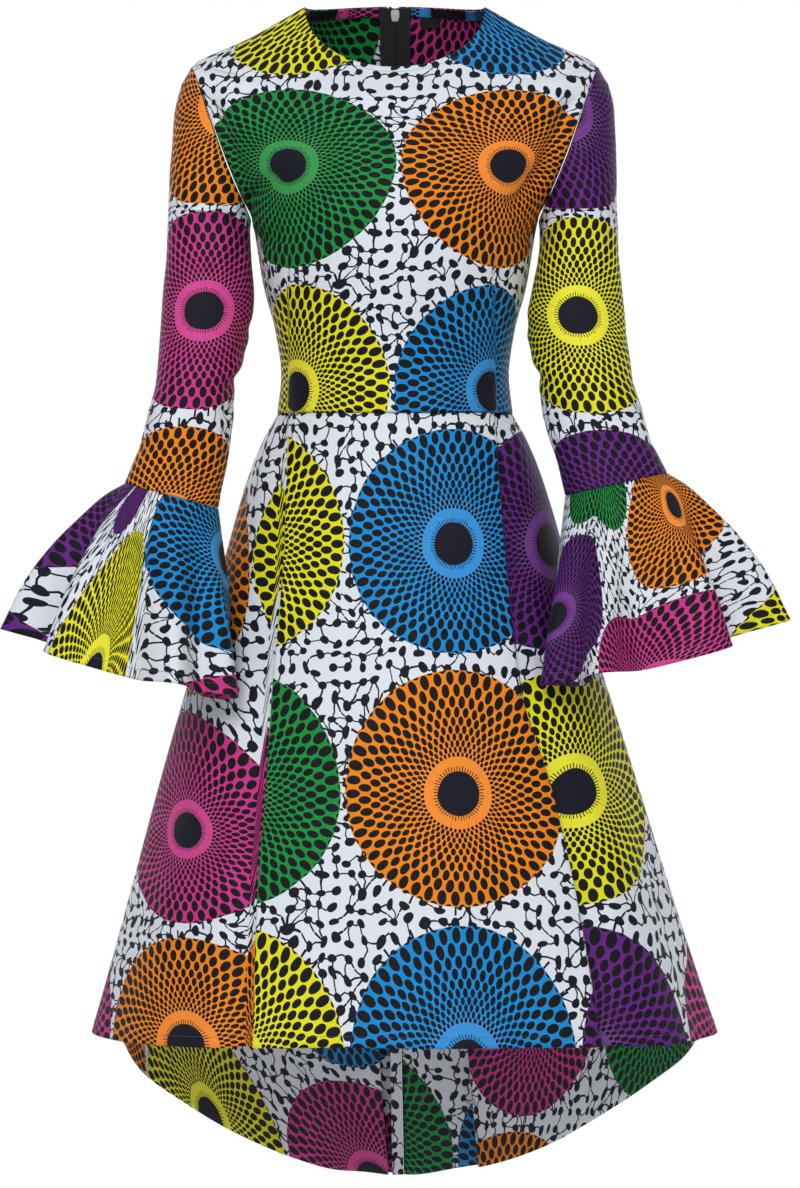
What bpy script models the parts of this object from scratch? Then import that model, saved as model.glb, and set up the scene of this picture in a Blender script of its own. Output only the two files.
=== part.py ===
"""Flared dress with set-in sleeves, cuff flounces and a longer back hem.

Units are metres. +Z is up, the front faces -Y, and +X is the wearer's left.
Z = 0 is the height of the shoulder seams' neck ends, where the wearer holds it up.
"""

import math

import bpy
import numpy as np

WALL = 0.0013
SEAM_GAP = 0.0006
SHOULDER_SET_BACK = 0.0009
ARMHOLE_GAP = 0.0012
CLOTH_GAP = 0.0004

# How the body part of the dress runs from the waist seam up to the neck.
# level: row number. half: half width at the side seam, armhole or shoulder.
# side_z, front_z, back_z: heights there, at the front middle and at the back middle.
# front, back: depth from the middle plane. bow: how the front rows bow down, 1 for half an oval.
BODY_COLUMNS = ("level", "half", "side_z", "front_z", "back_z", "front", "back", "bow")
BODY_ROWS = (
    (0.0, 0.1175, -0.408, -0.412, -0.408, 0.098, 0.084, 2.0),
    (1.0, 0.1135, -0.368, -0.370, -0.366, 0.099, 0.083, 2.0),
    (2.0, 0.1190, -0.325, -0.325, -0.322, 0.107, 0.089, 2.0),
    (3.0, 0.1310, -0.279, -0.274, -0.275, 0.121, 0.099, 2.0),
    (4.0, 0.1430, -0.212, -0.210, -0.210, 0.132, 0.110, 2.0),
    (5.0, 0.1560, -0.184, -0.182, -0.178, 0.131, 0.114, 2.0),
    (6.0, 0.1710, -0.148, -0.158, -0.142, 0.126, 0.117, 2.0),
    (7.0, 0.1850, -0.110, -0.134, -0.102, 0.117, 0.115, 2.0),
    (8.0, 0.1965, -0.077, -0.113, -0.066, 0.105, 0.108, 1.9),
    (9.0, 0.2015, -0.060, -0.099, -0.041, 0.094, 0.098, 1.7),
    (10.0, 0.1450, -0.031, -0.085, -0.012, 0.079, 0.079, 1.35),
    (11.0, 0.0900, 0.000, -0.071, 0.012, 0.065, 0.061, 1.0),
)
ARMPIT_LEVEL = 4.0
SHOULDER_LEVEL = 9.0
NECK_LEVEL = 11.0
ARMHOLE_HALF_DEPTH = 0.058
ARMHOLE_STEPS = 8
ARMHOLE_LEAN = 0.4
SHOULDER_STEPS = 4
LOWER_STEPS = 7
BODICE_COLUMNS = 18
END_CLOSENESS = 0.7
WAIST_ROW_HEIGHT = 0.040

# Sleeves as seen from the front: outer and inner edge at each station.
# forward: how far the middle comes to the front. deep: half depth from front to back.
SLEEVE_COLUMNS = ("station", "out_x", "out_z", "in_x", "in_z", "forward", "deep")
SLEEVE_RIGHT_ROWS = (
    (1.0, 0.2130, -0.078, 0.1445, -0.222, 0.000, 0.0585),
    (2.0, 0.2200, -0.108, 0.1440, -0.238, 0.001, 0.0580),
    (3.0, 0.2240, -0.155, 0.1425, -0.260, 0.003, 0.0560),
    (4.0, 0.2270, -0.220, 0.1410, -0.290, 0.007, 0.0530),
    (5.0, 0.2310, -0.300, 0.1430, -0.326, 0.020, 0.0500),
    (6.0, 0.2350, -0.366, 0.1520, -0.374, 0.040, 0.0470),
    (7.0, 0.2430, -0.416, 0.1600, -0.428, 0.062, 0.0440),
    (8.0, 0.2510, -0.450, 0.1650, -0.468, 0.080, 0.0415),
    (9.0, 0.2620, -0.480, 0.1710, -0.504, 0.094, 0.0400),
)
SLEEVE_LEFT_ROWS = (
    (1.0, 0.2130, -0.078, 0.1445, -0.222, 0.000, 0.0585),
    (2.0, 0.2190, -0.108, 0.1440, -0.238, 0.001, 0.0580),
    (3.0, 0.2210, -0.155, 0.1420, -0.258, 0.003, 0.0560),
    (4.0, 0.2220, -0.220, 0.1360, -0.285, 0.007, 0.0530),
    (5.0, 0.2270, -0.300, 0.1300, -0.322, 0.020, 0.0500),
    (6.0, 0.2330, -0.360, 0.1360, -0.370, 0.040, 0.0470),
    (7.0, 0.2430, -0.411, 0.1480, -0.424, 0.062, 0.0440),
    (8.0, 0.2520, -0.443, 0.1590, -0.462, 0.080, 0.0415),
    (9.0, 0.2640, -0.470, 0.1650, -0.492, 0.094, 0.0400),
)
SLEEVE_LAST = 9.0
SLEEVE_STEPS = 13
SLEEVE_CAP_SHARES = (0.0, 0.5)

# Cuff flounces: reach away from the wrist ring on each side, from seam to hem.
# down_out, down_in, down_front, down_back: how far each side has dropped.
FLOUNCE_COLUMNS = ("way", "out", "inward", "front", "back", "down_out", "down_in", "down_front", "down_back", "wave")
FLOUNCE_ROWS = (
    (0.00, 0.0000, 0.0000, 0.0000, 0.0000, 0.0000, 0.0000, 0.0000, 0.0000, 0.000),
    (0.12, 0.0170, 0.0030, 0.0080, 0.0070, 0.0110, 0.0230, 0.0205, 0.0205, 0.020),
    (0.30, 0.0380, 0.0080, 0.0220, 0.0170, 0.0350, 0.0560, 0.0510, 0.0510, 0.070),
    (0.50, 0.0560, 0.0140, 0.0350, 0.0260, 0.0620, 0.0930, 0.0870, 0.0860, 0.130),
    (0.75, 0.0750, 0.0210, 0.0470, 0.0340, 0.1010, 0.1390, 0.1330, 0.1310, 0.185),
    (1.00, 0.0910, 0.0270, 0.0540, 0.0390, 0.1460, 0.1840, 0.1780, 0.1740, 0.210),
)
FLOUNCE_WAVES = 8
FLOUNCE_COLUMN_STEPS = 56
FLOUNCE_STEPS = 6
FLOUNCE_PHASE = {"left": -0.4, "right": 0.6}
WAVE_UNEVENNESS = 0.5
INNER_CALM = 0.62
WRIST_GAP_SHARE = 0.9
WAVE_LIFT = 0.030
WAVE_LIFT_FRONT = 0.3
WAVE_LIFT_OUTER = 0.7
SKIRT_CLEARANCE = 0.0050
PRESS_POWER = 5.0
FREE_FAR = 2.0
FREE_STEPS = 16
FREE_HALVINGS = 20

# Skirt from the waist seam down: half width and depths at each height.
SKIRT_COLUMNS = ("drop", "half", "front", "back")
SKIRT_ROWS = (
    (0.000, 0.1175, 0.098, 0.084),
    (0.022, 0.1300, 0.105, 0.095),
    (0.052, 0.1430, 0.113, 0.107),
    (0.095, 0.1570, 0.123, 0.119),
    (0.134, 0.1680, 0.132, 0.130),
    (0.285, 0.2140, 0.166, 0.166),
    (0.345, 0.2320, 0.179, 0.180),
    (0.471, 0.2685, 0.209, 0.211),
    (0.573, 0.2990, 0.235, 0.238),
    (0.614, 0.3120, 0.245, 0.247),
    (0.830, 0.3760, 0.280, 0.285),
)
HEM_SIDE_Z = -1.022
HEM_FRONT_Z = -1.005
HEM_BACK_Z = -1.220
SKIRT_STEPS = 12
SKIRT_FRONT_PANEL_STEPS = 5
SKIRT_BACK_PANEL_STEPS = 4
HEM_DRIFT = 0.0095
FOLD_PASSES = 6
FOLD_SINE_LIMIT = 0.98

# Knife pleats: where the fold lies at the waist and at the hem, and how deep it goes.
PLEAT_COLUMNS = ("way", "fold_left", "fold_right", "depth_left", "depth_right", "lift")
FRONT_PLEAT_ROWS = (
    (0.00, -0.105, 0.098, 0.056, 0.058, 0.0033),
    (0.21, -0.108, 0.106, 0.059, 0.058, 0.0036),
    (0.44, -0.119, 0.119, 0.072, 0.053, 0.0047),
    (0.60, -0.126, 0.147, 0.083, 0.051, 0.0060),
    (0.77, -0.1355, 0.168, 0.088, 0.054, 0.0080),
    (1.00, -0.143, 0.187, 0.091, 0.060, 0.0100),
)
BACK_PLEAT_ROWS = (
    (0.00, -0.090, 0.090, 0.045, 0.045, 0.0033),
    (0.30, -0.098, 0.102, 0.055, 0.053, 0.0040),
    (0.60, -0.110, 0.128, 0.074, 0.068, 0.0065),
    (1.00, -0.130, 0.177, 0.106, 0.094, 0.0110),
)
PLEAT_RAMP = 0.045
PLEAT_RAMP_SHARE = 0.6
UNDER_LAYER_SHARE = 1.45
UNDER_LAYER_DROP = 0.6
RAMP_SHARES = (0.33, 0.66, 1.0)

ZIP_HALF_OPENING = 0.0036
ZIP_END_STEP = 3
TAPE_HALF = 0.0155
TAPE_THICK = 0.0010
CHAIN_HALF = 0.0026
CHAIN_THICK = 0.0016
ZIP_GAP = 0.0008
CHAIN_GAP = 0.0004
SLIDER_DROP = 0.0100
SLIDER_HALF = (0.0030, 0.0016, 0.0055)
SLIDER_STAND = 0.0003
SLIDER_BEVEL = 0.0006
BRIDGE_GAP = 0.0003
BRIDGE_HEIGHT = 0.0032
BRIDGE_REACH = 0.0036
BRIDGE_CORNER = 0.0008
BRIDGE_RADIUS = 0.0005
HINGE_STAND = 0.0012
PULL_THICK = 0.0011
PULL_HALF_WIDTH = 0.0030
PULL_WINDOW_HALF = 0.0015
PULL_WINDOW_LENGTH = 0.0056
PULL_LENGTH = 0.0230
PULL_BEVEL = 0.0003
BACK_SEAM_HALF = 0.0003

BACK_RISE_PER_LEVEL = 0.030
FACING_DEPTH = 0.010
FACING_THICK = 0.0010
FACING_COLUMNS = 10
FACING_STEPS = 2
FACING_TAPE_TURN = 0.01
FACING_SEAM_TURN = 0.035
NORMAL_TURN_STEP = 0.01
NORMAL_LEVEL_STEP = 0.02
LABEL_HALF_WIDTH = 0.0100
LABEL_HEIGHT = 0.0110
LABEL_X = 0.0360
LABEL_THICK = 0.0010
LABEL_TOP_DROP = 0.0106
LABEL_STEPS = 2

COLOURS = {
    "print": (0.80, 0.83, 0.86, 1.0),
    "tape": (0.012, 0.012, 0.014, 1.0),
    "metal": (0.62, 0.63, 0.65, 1.0),
    "label": (0.012, 0.012, 0.013, 1.0),
}
CLOTH_ROUGH = 0.85
METAL_ROUGH = 0.3


def clear_scene():
    for item in list(bpy.data.objects):
        bpy.data.objects.remove(item, do_unlink=True)


def slopes(xs, ys):
    """Slopes for a smooth curve that never overshoots its table."""
    step = np.diff(xs)
    rise = np.diff(ys) / step
    out = np.zeros(len(xs))
    out[0] = rise[0]
    out[-1] = rise[-1]
    for i in range(1, len(xs) - 1):
        if rise[i - 1] * rise[i] > 0.0:
            near = 2.0 * step[i] + step[i - 1]
            far = step[i] + 2.0 * step[i - 1]
            out[i] = (near + far) / (near / rise[i - 1] + far / rise[i])
    return out


class Table:
    """A table with named columns, read smoothly along its first column."""

    def __init__(self, columns, rows):
        data = np.array(rows, dtype=float)
        self.keys = data[:, 0]
        self.values = {name: data[:, i] for i, name in enumerate(columns)}
        self.slopes = {name: slopes(self.keys, data[:, i]) for i, name in enumerate(columns)}

    def get(self, name, at):
        keys = self.keys
        at = min(max(at, keys[0]), keys[-1])
        i = int(np.searchsorted(keys, at, side="right")) - 1
        i = min(max(i, 0), len(keys) - 2)
        width = keys[i + 1] - keys[i]
        f = (at - keys[i]) / width
        a = self.values[name][i]
        b = self.values[name][i + 1]
        da = self.slopes[name][i] * width
        db = self.slopes[name][i + 1] * width
        ff = f * f
        fff = ff * f
        return a * (2 * fff - 3 * ff + 1) + da * (fff - 2 * ff + f) + b * (3 * ff - 2 * fff) + db * (fff - ff)


BODY = Table(BODY_COLUMNS, BODY_ROWS)
SKIRT = Table(SKIRT_COLUMNS, SKIRT_ROWS)
FLOUNCE = Table(FLOUNCE_COLUMNS, FLOUNCE_ROWS)
FRONT_PLEAT = Table(PLEAT_COLUMNS, FRONT_PLEAT_ROWS)
BACK_PLEAT = Table(PLEAT_COLUMNS, BACK_PLEAT_ROWS)
SLEEVES = {
    "left": Table(SLEEVE_COLUMNS, SLEEVE_LEFT_ROWS),
    "right": Table(SLEEVE_COLUMNS, SLEEVE_RIGHT_ROWS),
}
SIDE_SIGN = {"left": 1.0, "right": -1.0}
WAIST_Z = BODY.get("side_z", 0.0)


def armhole_depth(level):
    """Half depth of the armhole at a level, zero at the armpit and the shoulder tip."""
    f = (level - ARMPIT_LEVEL) / (SHOULDER_LEVEL - ARMPIT_LEVEL)
    if f <= 0.0 or f >= 1.0:
        return 0.0
    return ARMHOLE_HALF_DEPTH * math.sqrt(1.0 - (2.0 * f - 1.0) ** 2)


def edge_angle(level, face):
    """Angle from the middle of the face to its side seam, armhole or shoulder seam."""
    return math.acos(armhole_depth(level) / BODY.get(face, level))


def body_point(angle, level, face):
    """Point on the body of the dress. angle is 0 at the middle of the front or back."""
    depth = BODY.get(face, level)
    edge = edge_angle(level, face)
    bow = BODY.get("bow", level) if face == "front" else 2.0
    middle_z = BODY.get(face + "_z", level)
    rise = (BODY.get("side_z", level) - middle_z) / (1.0 - max(math.cos(edge), 0.0) ** bow)
    share = 1.0 - max(math.cos(angle), 0.0) ** bow
    x = BODY.get("half", level) / math.sin(edge) * math.sin(angle)
    y = math.cos(angle) * depth
    z = middle_z + rise * share
    return (x, -y if face == "front" else y, z)


def eased(share):
    """Closer steps near both ends, so that the edges of neighbouring pieces stay parallel."""
    return share - END_CLOSENESS * math.sin(2 * math.pi * share) / (2 * math.pi)


def body_levels():
    """Rows from the waist to the neck, closer together at the ends of the armhole."""
    low = [ARMPIT_LEVEL * i / LOWER_STEPS for i in range(LOWER_STEPS)]
    span = SHOULDER_LEVEL - ARMPIT_LEVEL
    arm = [ARMPIT_LEVEL + span * (1 - math.cos(math.pi * i / ARMHOLE_STEPS)) / 2 for i in range(ARMHOLE_STEPS)]
    top = NECK_LEVEL - SHOULDER_LEVEL
    shoulder = [SHOULDER_LEVEL + top * i / SHOULDER_STEPS for i in range(SHOULDER_STEPS + 1)]
    return low + arm + shoulder


def bodice_grid(face, sign, start_x, level_list):
    """Rows of points from the middle (or the other side) out to the edge."""
    rows = []
    for n, level in enumerate(level_list):
        raised = level
        if n == 0:
            raised = level + SEAM_GAP / 2 / WAIST_ROW_HEIGHT
        reach = BODY.get("half", raised) / math.sin(edge_angle(raised, face))
        last = edge_angle(raised, face) - SEAM_GAP / 2 / reach
        if armhole_depth(raised) == 0.0:
            shoulder = max(raised - SHOULDER_LEVEL, 0.0) / (NECK_LEVEL - SHOULDER_LEVEL)
            set_back = SHOULDER_SET_BACK * shoulder if face == "front" else 0.0
            last = math.pi / 2 - (SEAM_GAP / 2 + set_back) / BODY.get(face, raised)
        if sign == 0:
            first = -last
        else:
            first = math.asin(start_x / reach)
        turn = sign if sign else 1
        row = []
        for i in range(BODICE_COLUMNS + 1):
            angle = first + (last - first) * eased(i / BODICE_COLUMNS)
            row.append(body_point(turn * angle, raised, face))
        rows.append(row)
    return rows


def skirt_drop_z(angle, way, face):
    """Height on the skirt, way running from 0 at the waist to 1 at the hem."""
    s = math.sin(angle)
    middle = HEM_FRONT_Z if face == "front" else HEM_BACK_Z
    hem = HEM_SIDE_Z * s * s + middle * (1.0 - s * s)
    middle_top = BODY.get(face + "_z", 0.0)
    top = WAIST_Z * s * s + middle_top * (1.0 - s * s)
    return top + (hem - top) * way


def skirt_point(angle, way, face, inward=0.0):
    z = skirt_drop_z(angle, way, face)
    drop = max(WAIST_Z - z, 0.0)
    half = SKIRT.get("half", drop)
    depth = SKIRT.get(face, drop)
    sign = -1.0 if face == "front" else 1.0
    x = half * math.sin(angle)
    y = sign * depth * math.cos(angle)
    nx = math.sin(angle) / half
    ny = sign * math.cos(angle) / depth
    size = math.hypot(nx, ny)
    x = x - nx / size * inward + HEM_DRIFT * way * way
    y = y - ny / size * inward
    return (x, y, z - UNDER_LAYER_DROP * inward * (1.0 - way))


def fold_angle(x, way, face):
    """Angle on the skirt at which x is reached at this way down."""
    angle = 0.0
    for _ in range(FOLD_PASSES):
        drop = max(WAIST_Z - skirt_drop_z(angle, way, face), 0.0)
        sine = x / SKIRT.get("half", drop)
        angle = math.asin(max(-FOLD_SINE_LIMIT, min(FOLD_SINE_LIMIT, sine)))
    return angle


def pleated_side(fold, depth, lift, half, deep, first, last, sign, steps):
    """Angles and inward offsets from the middle out, through one knife pleat."""
    reach = math.hypot(half * math.cos(fold), deep * math.sin(fold))
    turn = lift / 2 / reach
    middle = fold - depth / reach / 2
    hidden = depth / math.hypot(half * math.cos(middle), deep * math.sin(middle))
    ramp = min(PLEAT_RAMP / reach, PLEAT_RAMP_SHARE * (last - fold))
    under = lift * UNDER_LAYER_SHARE
    path = []
    for i in range(steps):
        path.append((first + (fold - turn - first) * i / steps, 0.0))
    path.append((fold - turn, 0.0))
    path.append((fold, lift / 2))
    path.append((fold - turn, lift))
    path.append((fold - turn - hidden / 2, lift))
    path.append((fold - turn - hidden, lift))
    path.append((fold - turn - hidden - (under - lift) / reach, (lift + under) / 2))
    path.append((fold - turn - hidden, under))
    path.append((fold - turn - hidden / 2, under))
    path.append((fold, under))
    for share in RAMP_SHARES:
        ease = share * share * (3 - 2 * share)
        path.append((fold + ramp * share, under * (1 - ease)))
    start = fold + ramp
    for i in range(1, steps + 1):
        path.append((start + (last - start) * i / steps, 0.0))
    return [(sign * angle, inward) for angle, inward in path]


def side_of_picture(side):
    """The wearer's left is on the right as seen from the front, where x is positive."""
    return "right" if side == "left" else "left"


def skirt_row(way, face, side, table, steps, first_x):
    sign = SIDE_SIGN[side]
    fold_x = abs(table.get("fold_" + side_of_picture(side), way))
    fold = abs(fold_angle(fold_x, way, face))
    drop = max(WAIST_Z - skirt_drop_z(fold, way, face), 0.0)
    first = 0.0
    if first_x > 0.0:
        first = abs(fold_angle(first_x, way, face))
    side_drop = max(WAIST_Z - skirt_drop_z(math.pi / 2, way, face), 0.0)
    last = math.pi / 2 - SEAM_GAP / 2 / SKIRT.get(face, side_drop)
    half = SKIRT.get("half", drop)
    deep = SKIRT.get(face, drop)
    depth = table.get("depth_" + side_of_picture(side), way)
    lift = table.get("lift", way)
    path = pleated_side(fold, depth, lift, half, deep, first, last, sign, steps)
    return [skirt_point(angle, way, face, inward) for angle, inward in path]


def skirt_ways():
    ways = [i / SKIRT_STEPS for i in range(SKIRT_STEPS + 1)]
    ways[0] = SEAM_GAP / 2 / (WAIST_Z - HEM_SIDE_Z)
    return ways


def armhole_loop_point(turn, side):
    """Point on the armhole. turn is 0 at the shoulder tip, half a circle at the armpit."""
    f = (1.0 + math.cos(turn)) / 2.0
    level = ARMPIT_LEVEL + (SHOULDER_LEVEL - ARMPIT_LEVEL) * f
    face = "front" if math.sin(turn) > 0.0 else "back"
    angle = edge_angle(level, face)
    return body_point(SIDE_SIGN[side] * angle, level, face)


def sleeve_ring_point(turn, station, side):
    table = SLEEVES[side]
    at = max(station, 1.0)
    sign = SIDE_SIGN[side]
    ox = table.get("out_x", at)
    oz = table.get("out_z", at)
    ix = table.get("in_x", at)
    iz = table.get("in_z", at)
    c = math.cos(turn)
    s = math.sin(turn)
    x = sign * ((ox + ix) / 2 + (ox - ix) / 2 * c)
    z = (oz + iz) / 2 + (oz - iz) / 2 * c
    y = -table.get("forward", at) - table.get("deep", at) * s
    return (x, y, z)


def sleeve_point(turn, station, side):
    ring = sleeve_ring_point(turn, station, side)
    if station >= 1.0:
        return ring
    loop = armhole_loop_point(turn, side)
    shift = SIDE_SIGN[side] * ARMHOLE_GAP
    loop = (loop[0] + shift, loop[1], loop[2] - ARMHOLE_GAP * ARMHOLE_LEAN)
    return tuple(a + (b - a) * station for a, b in zip(loop, ring))


def sleeve_stations():
    count = SLEEVE_STEPS - len(SLEEVE_CAP_SHARES)
    rest = [1.0 + (SLEEVE_LAST - 1.0) * i / count for i in range(count + 1)]
    return list(SLEEVE_CAP_SHARES) + rest


def armhole_turns():
    return [math.pi * i / ARMHOLE_STEPS for i in range(2 * ARMHOLE_STEPS)]


def skirt_reach(x, y, z):
    """Below one inside the skirt with its clearance, above one outside it."""
    drop = max(WAIST_Z - z, 0.0)
    face = "front" if y < 0.0 else "back"
    half = SKIRT.get("half", drop) + SKIRT_CLEARANCE
    depth = SKIRT.get(face, drop) + SKIRT_CLEARANCE
    drift = HEM_DRIFT * (drop / (WAIST_Z - HEM_SIDE_Z)) ** 2
    return math.hypot((x - drift) / half, y / depth)


def free_length(from_x, from_y, to_x, to_y, z):
    """Share of the way from one point to another that stays clear of the skirt, up to twice."""

    def inside(share):
        return skirt_reach(from_x + (to_x - from_x) * share, from_y + (to_y - from_y) * share, z) <= 1.0

    shares = [FREE_FAR * k / FREE_STEPS for k in range(FREE_STEPS + 1)]
    high = next((share for share in shares if inside(share)), None)
    if high is None:
        return None
    low = max(high - FREE_FAR / FREE_STEPS, 0.0)
    for _ in range(FREE_HALVINGS):
        middle = (low + high) / 2
        if inside(middle):
            high = middle
        else:
            low = middle
    return low


def flounce_point(turn, way, side):
    sign = SIDE_SIGN[side]
    bx, by, bz = sleeve_ring_point(turn, SLEEVE_LAST, side)
    c = math.cos(turn)
    s = math.sin(turn)
    sideways = FLOUNCE.get("out", way) if c > 0.0 else FLOUNCE.get("inward", way)
    sideways_down = FLOUNCE.get("down_out", way) if c > 0.0 else FLOUNCE.get("down_in", way)
    along = FLOUNCE.get("front", way) if s > 0.0 else FLOUNCE.get("back", way)
    along_down = FLOUNCE.get("down_front", way) if s > 0.0 else FLOUNCE.get("down_back", way)
    uneven = WAVE_UNEVENNESS * math.sin(2 * turn)
    ripple = math.sin(FLOUNCE_WAVES * turn + FLOUNCE_PHASE[side] + uneven)
    pull = 1.0 if c > 0.0 else 1.0 - INNER_CALM * c * c
    reach = FLOUNCE.get("wave", way) * ripple * pull
    sleeve = SLEEVES[side]
    middle_x = sign * (sleeve.get("out_x", SLEEVE_LAST) + sleeve.get("in_x", SLEEVE_LAST)) / 2
    middle_y = -sleeve.get("forward", SLEEVE_LAST)
    x = bx + sign * sideways * c
    y = by - along * s
    x = middle_x + (x - middle_x) * (1.0 + reach)
    y = middle_y + (y - middle_y) * (1.0 + reach)
    z = bz - (sideways_down * c * c + along_down * s * s) - SEAM_GAP * WRIST_GAP_SHARE
    z += WAVE_LIFT * reach * (WAVE_LIFT_FRONT + WAVE_LIFT_OUTER * max(c, 0.0))
    free = free_length(middle_x, middle_y, x, y, z)
    if free is not None:
        share = 1.0 / (1.0 + (1.0 / free) ** PRESS_POWER) ** (1.0 / PRESS_POWER)
        x = middle_x + (x - middle_x) * share
        y = middle_y + (y - middle_y) * share
    return (x, y, z)


def material(name):
    found = bpy.data.materials.get(name)
    if found:
        return found
    made = bpy.data.materials.new(name)
    made.use_nodes = True
    shader = made.node_tree.nodes["Principled BSDF"]
    shader.inputs["Base Color"].default_value = COLOURS[name]
    metal = name == "metal"
    shader.inputs["Metallic"].default_value = 1.0 if metal else 0.0
    shader.inputs["Roughness"].default_value = METAL_ROUGH if metal else CLOTH_ROUGH
    return made


def add_mesh(name, verts, faces, look, holder):
    mesh = bpy.data.meshes.new(name)
    mesh.from_pydata([tuple(v) for v in verts], [], faces)
    mesh.validate()
    mesh.update()
    item = bpy.data.objects.new(name, mesh)
    item.data.materials.append(material(look))
    holder.objects.link(item)
    return item


def thicken(item, wall):
    mod = item.modifiers.new("wall", "SOLIDIFY")
    mod.thickness = wall
    mod.offset = -1.0
    mod.use_even_offset = False
    mod.use_quality_normals = True


def sheet(name, rows, look, holder, wall=WALL, closed=False, flip=False):
    """Cloth from rows of points, thickened to the inside."""
    count = len(rows[0])
    verts = [p for row in rows for p in row]
    faces = []
    spans = count if closed else count - 1
    for r in range(len(rows) - 1):
        for c in range(spans):
            a = r * count + c
            b = r * count + (c + 1) % count
            quad = (a, b, b + count, a + count)
            faces.append(quad[::-1] if flip else quad)
    item = add_mesh(name, verts, faces, look, holder)
    thicken(item, wall)
    return item


def build_bodice(holder):
    level_list = body_levels()
    sheet("bodice_front", bodice_grid("front", 0, 0.0, level_list), "print", holder)
    for side in ("left", "right"):
        sign = SIDE_SIGN[side]
        rows = bodice_grid("back", sign, ZIP_HALF_OPENING, level_list)
        sheet("bodice_back_" + side, rows, "print", holder, flip=sign > 0)


def build_skirt(holder):
    ways = skirt_ways()
    rows = []
    for way in ways:
        right = skirt_row(way, "front", "right", FRONT_PLEAT, SKIRT_FRONT_PANEL_STEPS, 0.0)
        left = skirt_row(way, "front", "left", FRONT_PLEAT, SKIRT_FRONT_PANEL_STEPS, 0.0)
        rows.append(right[::-1] + left[1:])
    sheet("skirt_front", rows, "print", holder, flip=True)
    for side in ("left", "right"):
        rows = []
        for way in ways:
            edge = ZIP_HALF_OPENING if len(rows) <= ZIP_END_STEP else BACK_SEAM_HALF
            rows.append(skirt_row(way, "back", side, BACK_PLEAT, SKIRT_BACK_PANEL_STEPS, edge))
        sheet("skirt_back_" + side, rows, "print", holder, flip=side == "right")


def build_sleeves(holder):
    turns = armhole_turns()
    for side in ("left", "right"):
        rows = []
        for station in sleeve_stations():
            rows.append([sleeve_point(turn, station, side) for turn in turns])
        sheet("sleeve_" + side, rows, "print", holder, closed=True, flip=side == "right")


def build_flounces(holder):
    turns = [2 * math.pi * i / FLOUNCE_COLUMN_STEPS for i in range(FLOUNCE_COLUMN_STEPS)]
    for side in ("left", "right"):
        rows = []
        for n in range(FLOUNCE_STEPS + 1):
            rows.append([flounce_point(turn, n / FLOUNCE_STEPS, side) for turn in turns])
        sheet("flounce_" + side, rows, "print", holder, closed=True, flip=side == "right")


def build_facings(holder):
    """Narrow band inside the back neck, a hair away from the back pieces."""
    inset = WALL + CLOTH_GAP
    for side in ("left", "right"):
        sign = SIDE_SIGN[side]
        rows = []
        for n in range(FACING_STEPS + 1):
            level = NECK_LEVEL - FACING_DEPTH * n / FACING_STEPS / BACK_RISE_PER_LEVEL
            half = BODY.get("half", level)
            first = math.asin(TAPE_HALF / half) + FACING_TAPE_TURN
            last = math.pi / 2 - FACING_SEAM_TURN
            row = []
            for i in range(FACING_COLUMNS + 1):
                angle = first + (last - first) * i / FACING_COLUMNS
                row.append(inward_back_point(sign * angle, level, inset))
            rows.append(row)
        sheet("neck_facing_" + side, rows, "print", holder, wall=FACING_THICK, flip=side == "right")


def inward_back_point(angle, level, inset):
    """Back surface point moved to the inside along its own normal."""
    low = min(level, NECK_LEVEL - NORMAL_LEVEL_STEP)
    here = np.array(body_point(angle, level, "back"))
    base = np.array(body_point(angle, low, "back"))
    along = np.array(body_point(angle + NORMAL_TURN_STEP, low, "back")) - base
    up = np.array(body_point(angle, low + NORMAL_LEVEL_STEP, "back")) - base
    normal = np.cross(along, up)
    normal = normal / np.linalg.norm(normal)
    if normal[1] < 0.0:
        normal = -normal
    return tuple(here - normal * inset)


def back_profile(x):
    """Outer surface of the back near its middle, as rows of (y, z) from the neck down."""
    out = []
    for level in reversed(body_levels()):
        half = BODY.get("half", level) / math.sin(edge_angle(level, "back"))
        point = body_point(math.asin(x / half), level, "back")
        out.append((point[1], point[2]))
    for way in skirt_ways()[1:ZIP_END_STEP + 1]:
        point = skirt_point(fold_angle(x, way, "back"), way, "back")
        out.append((point[1], point[2]))
    return out


def inset_profile(profile, inset):
    """A profile moved to the inside along its own normals."""
    out = []
    for i, (y, z) in enumerate(profile):
        before = profile[max(i - 1, 0)]
        after = profile[min(i + 1, len(profile) - 1)]
        dy = after[0] - before[0]
        dz = after[1] - before[1]
        size = math.hypot(dy, dz)
        out.append((y + dz / size * inset, z - dy / size * inset))
    return out


def strip(name, x0, x1, profile, thick, look, holder):
    """A flat strip that follows the back."""
    rows = [[(x0, y, z), (x1, y, z)] for y, z in profile]
    return sheet(name, rows, look, holder, wall=thick)


def block(name, centre, half, tilt, look, holder):
    """A small block with rounded edges, leaning with the back."""
    c = math.cos(tilt)
    s = math.sin(tilt)
    verts = []
    for sx in (-1, 1):
        for sy in (-1, 1):
            for sz in (-1, 1):
                y = sy * half[1]
                z = sz * half[2]
                verts.append((centre[0] + sx * half[0], centre[1] + y * c - z * s, centre[2] + y * s + z * c))
    faces = [(0, 1, 3, 2), (4, 6, 7, 5), (0, 4, 5, 1), (2, 3, 7, 6), (0, 2, 6, 4), (1, 5, 7, 3)]
    item = add_mesh(name, verts, faces, look, holder)
    mod = item.modifiers.new("edges", "BEVEL")
    mod.width = SLIDER_BEVEL
    mod.segments = 2
    mod.limit_method = "NONE"
    return item


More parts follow.
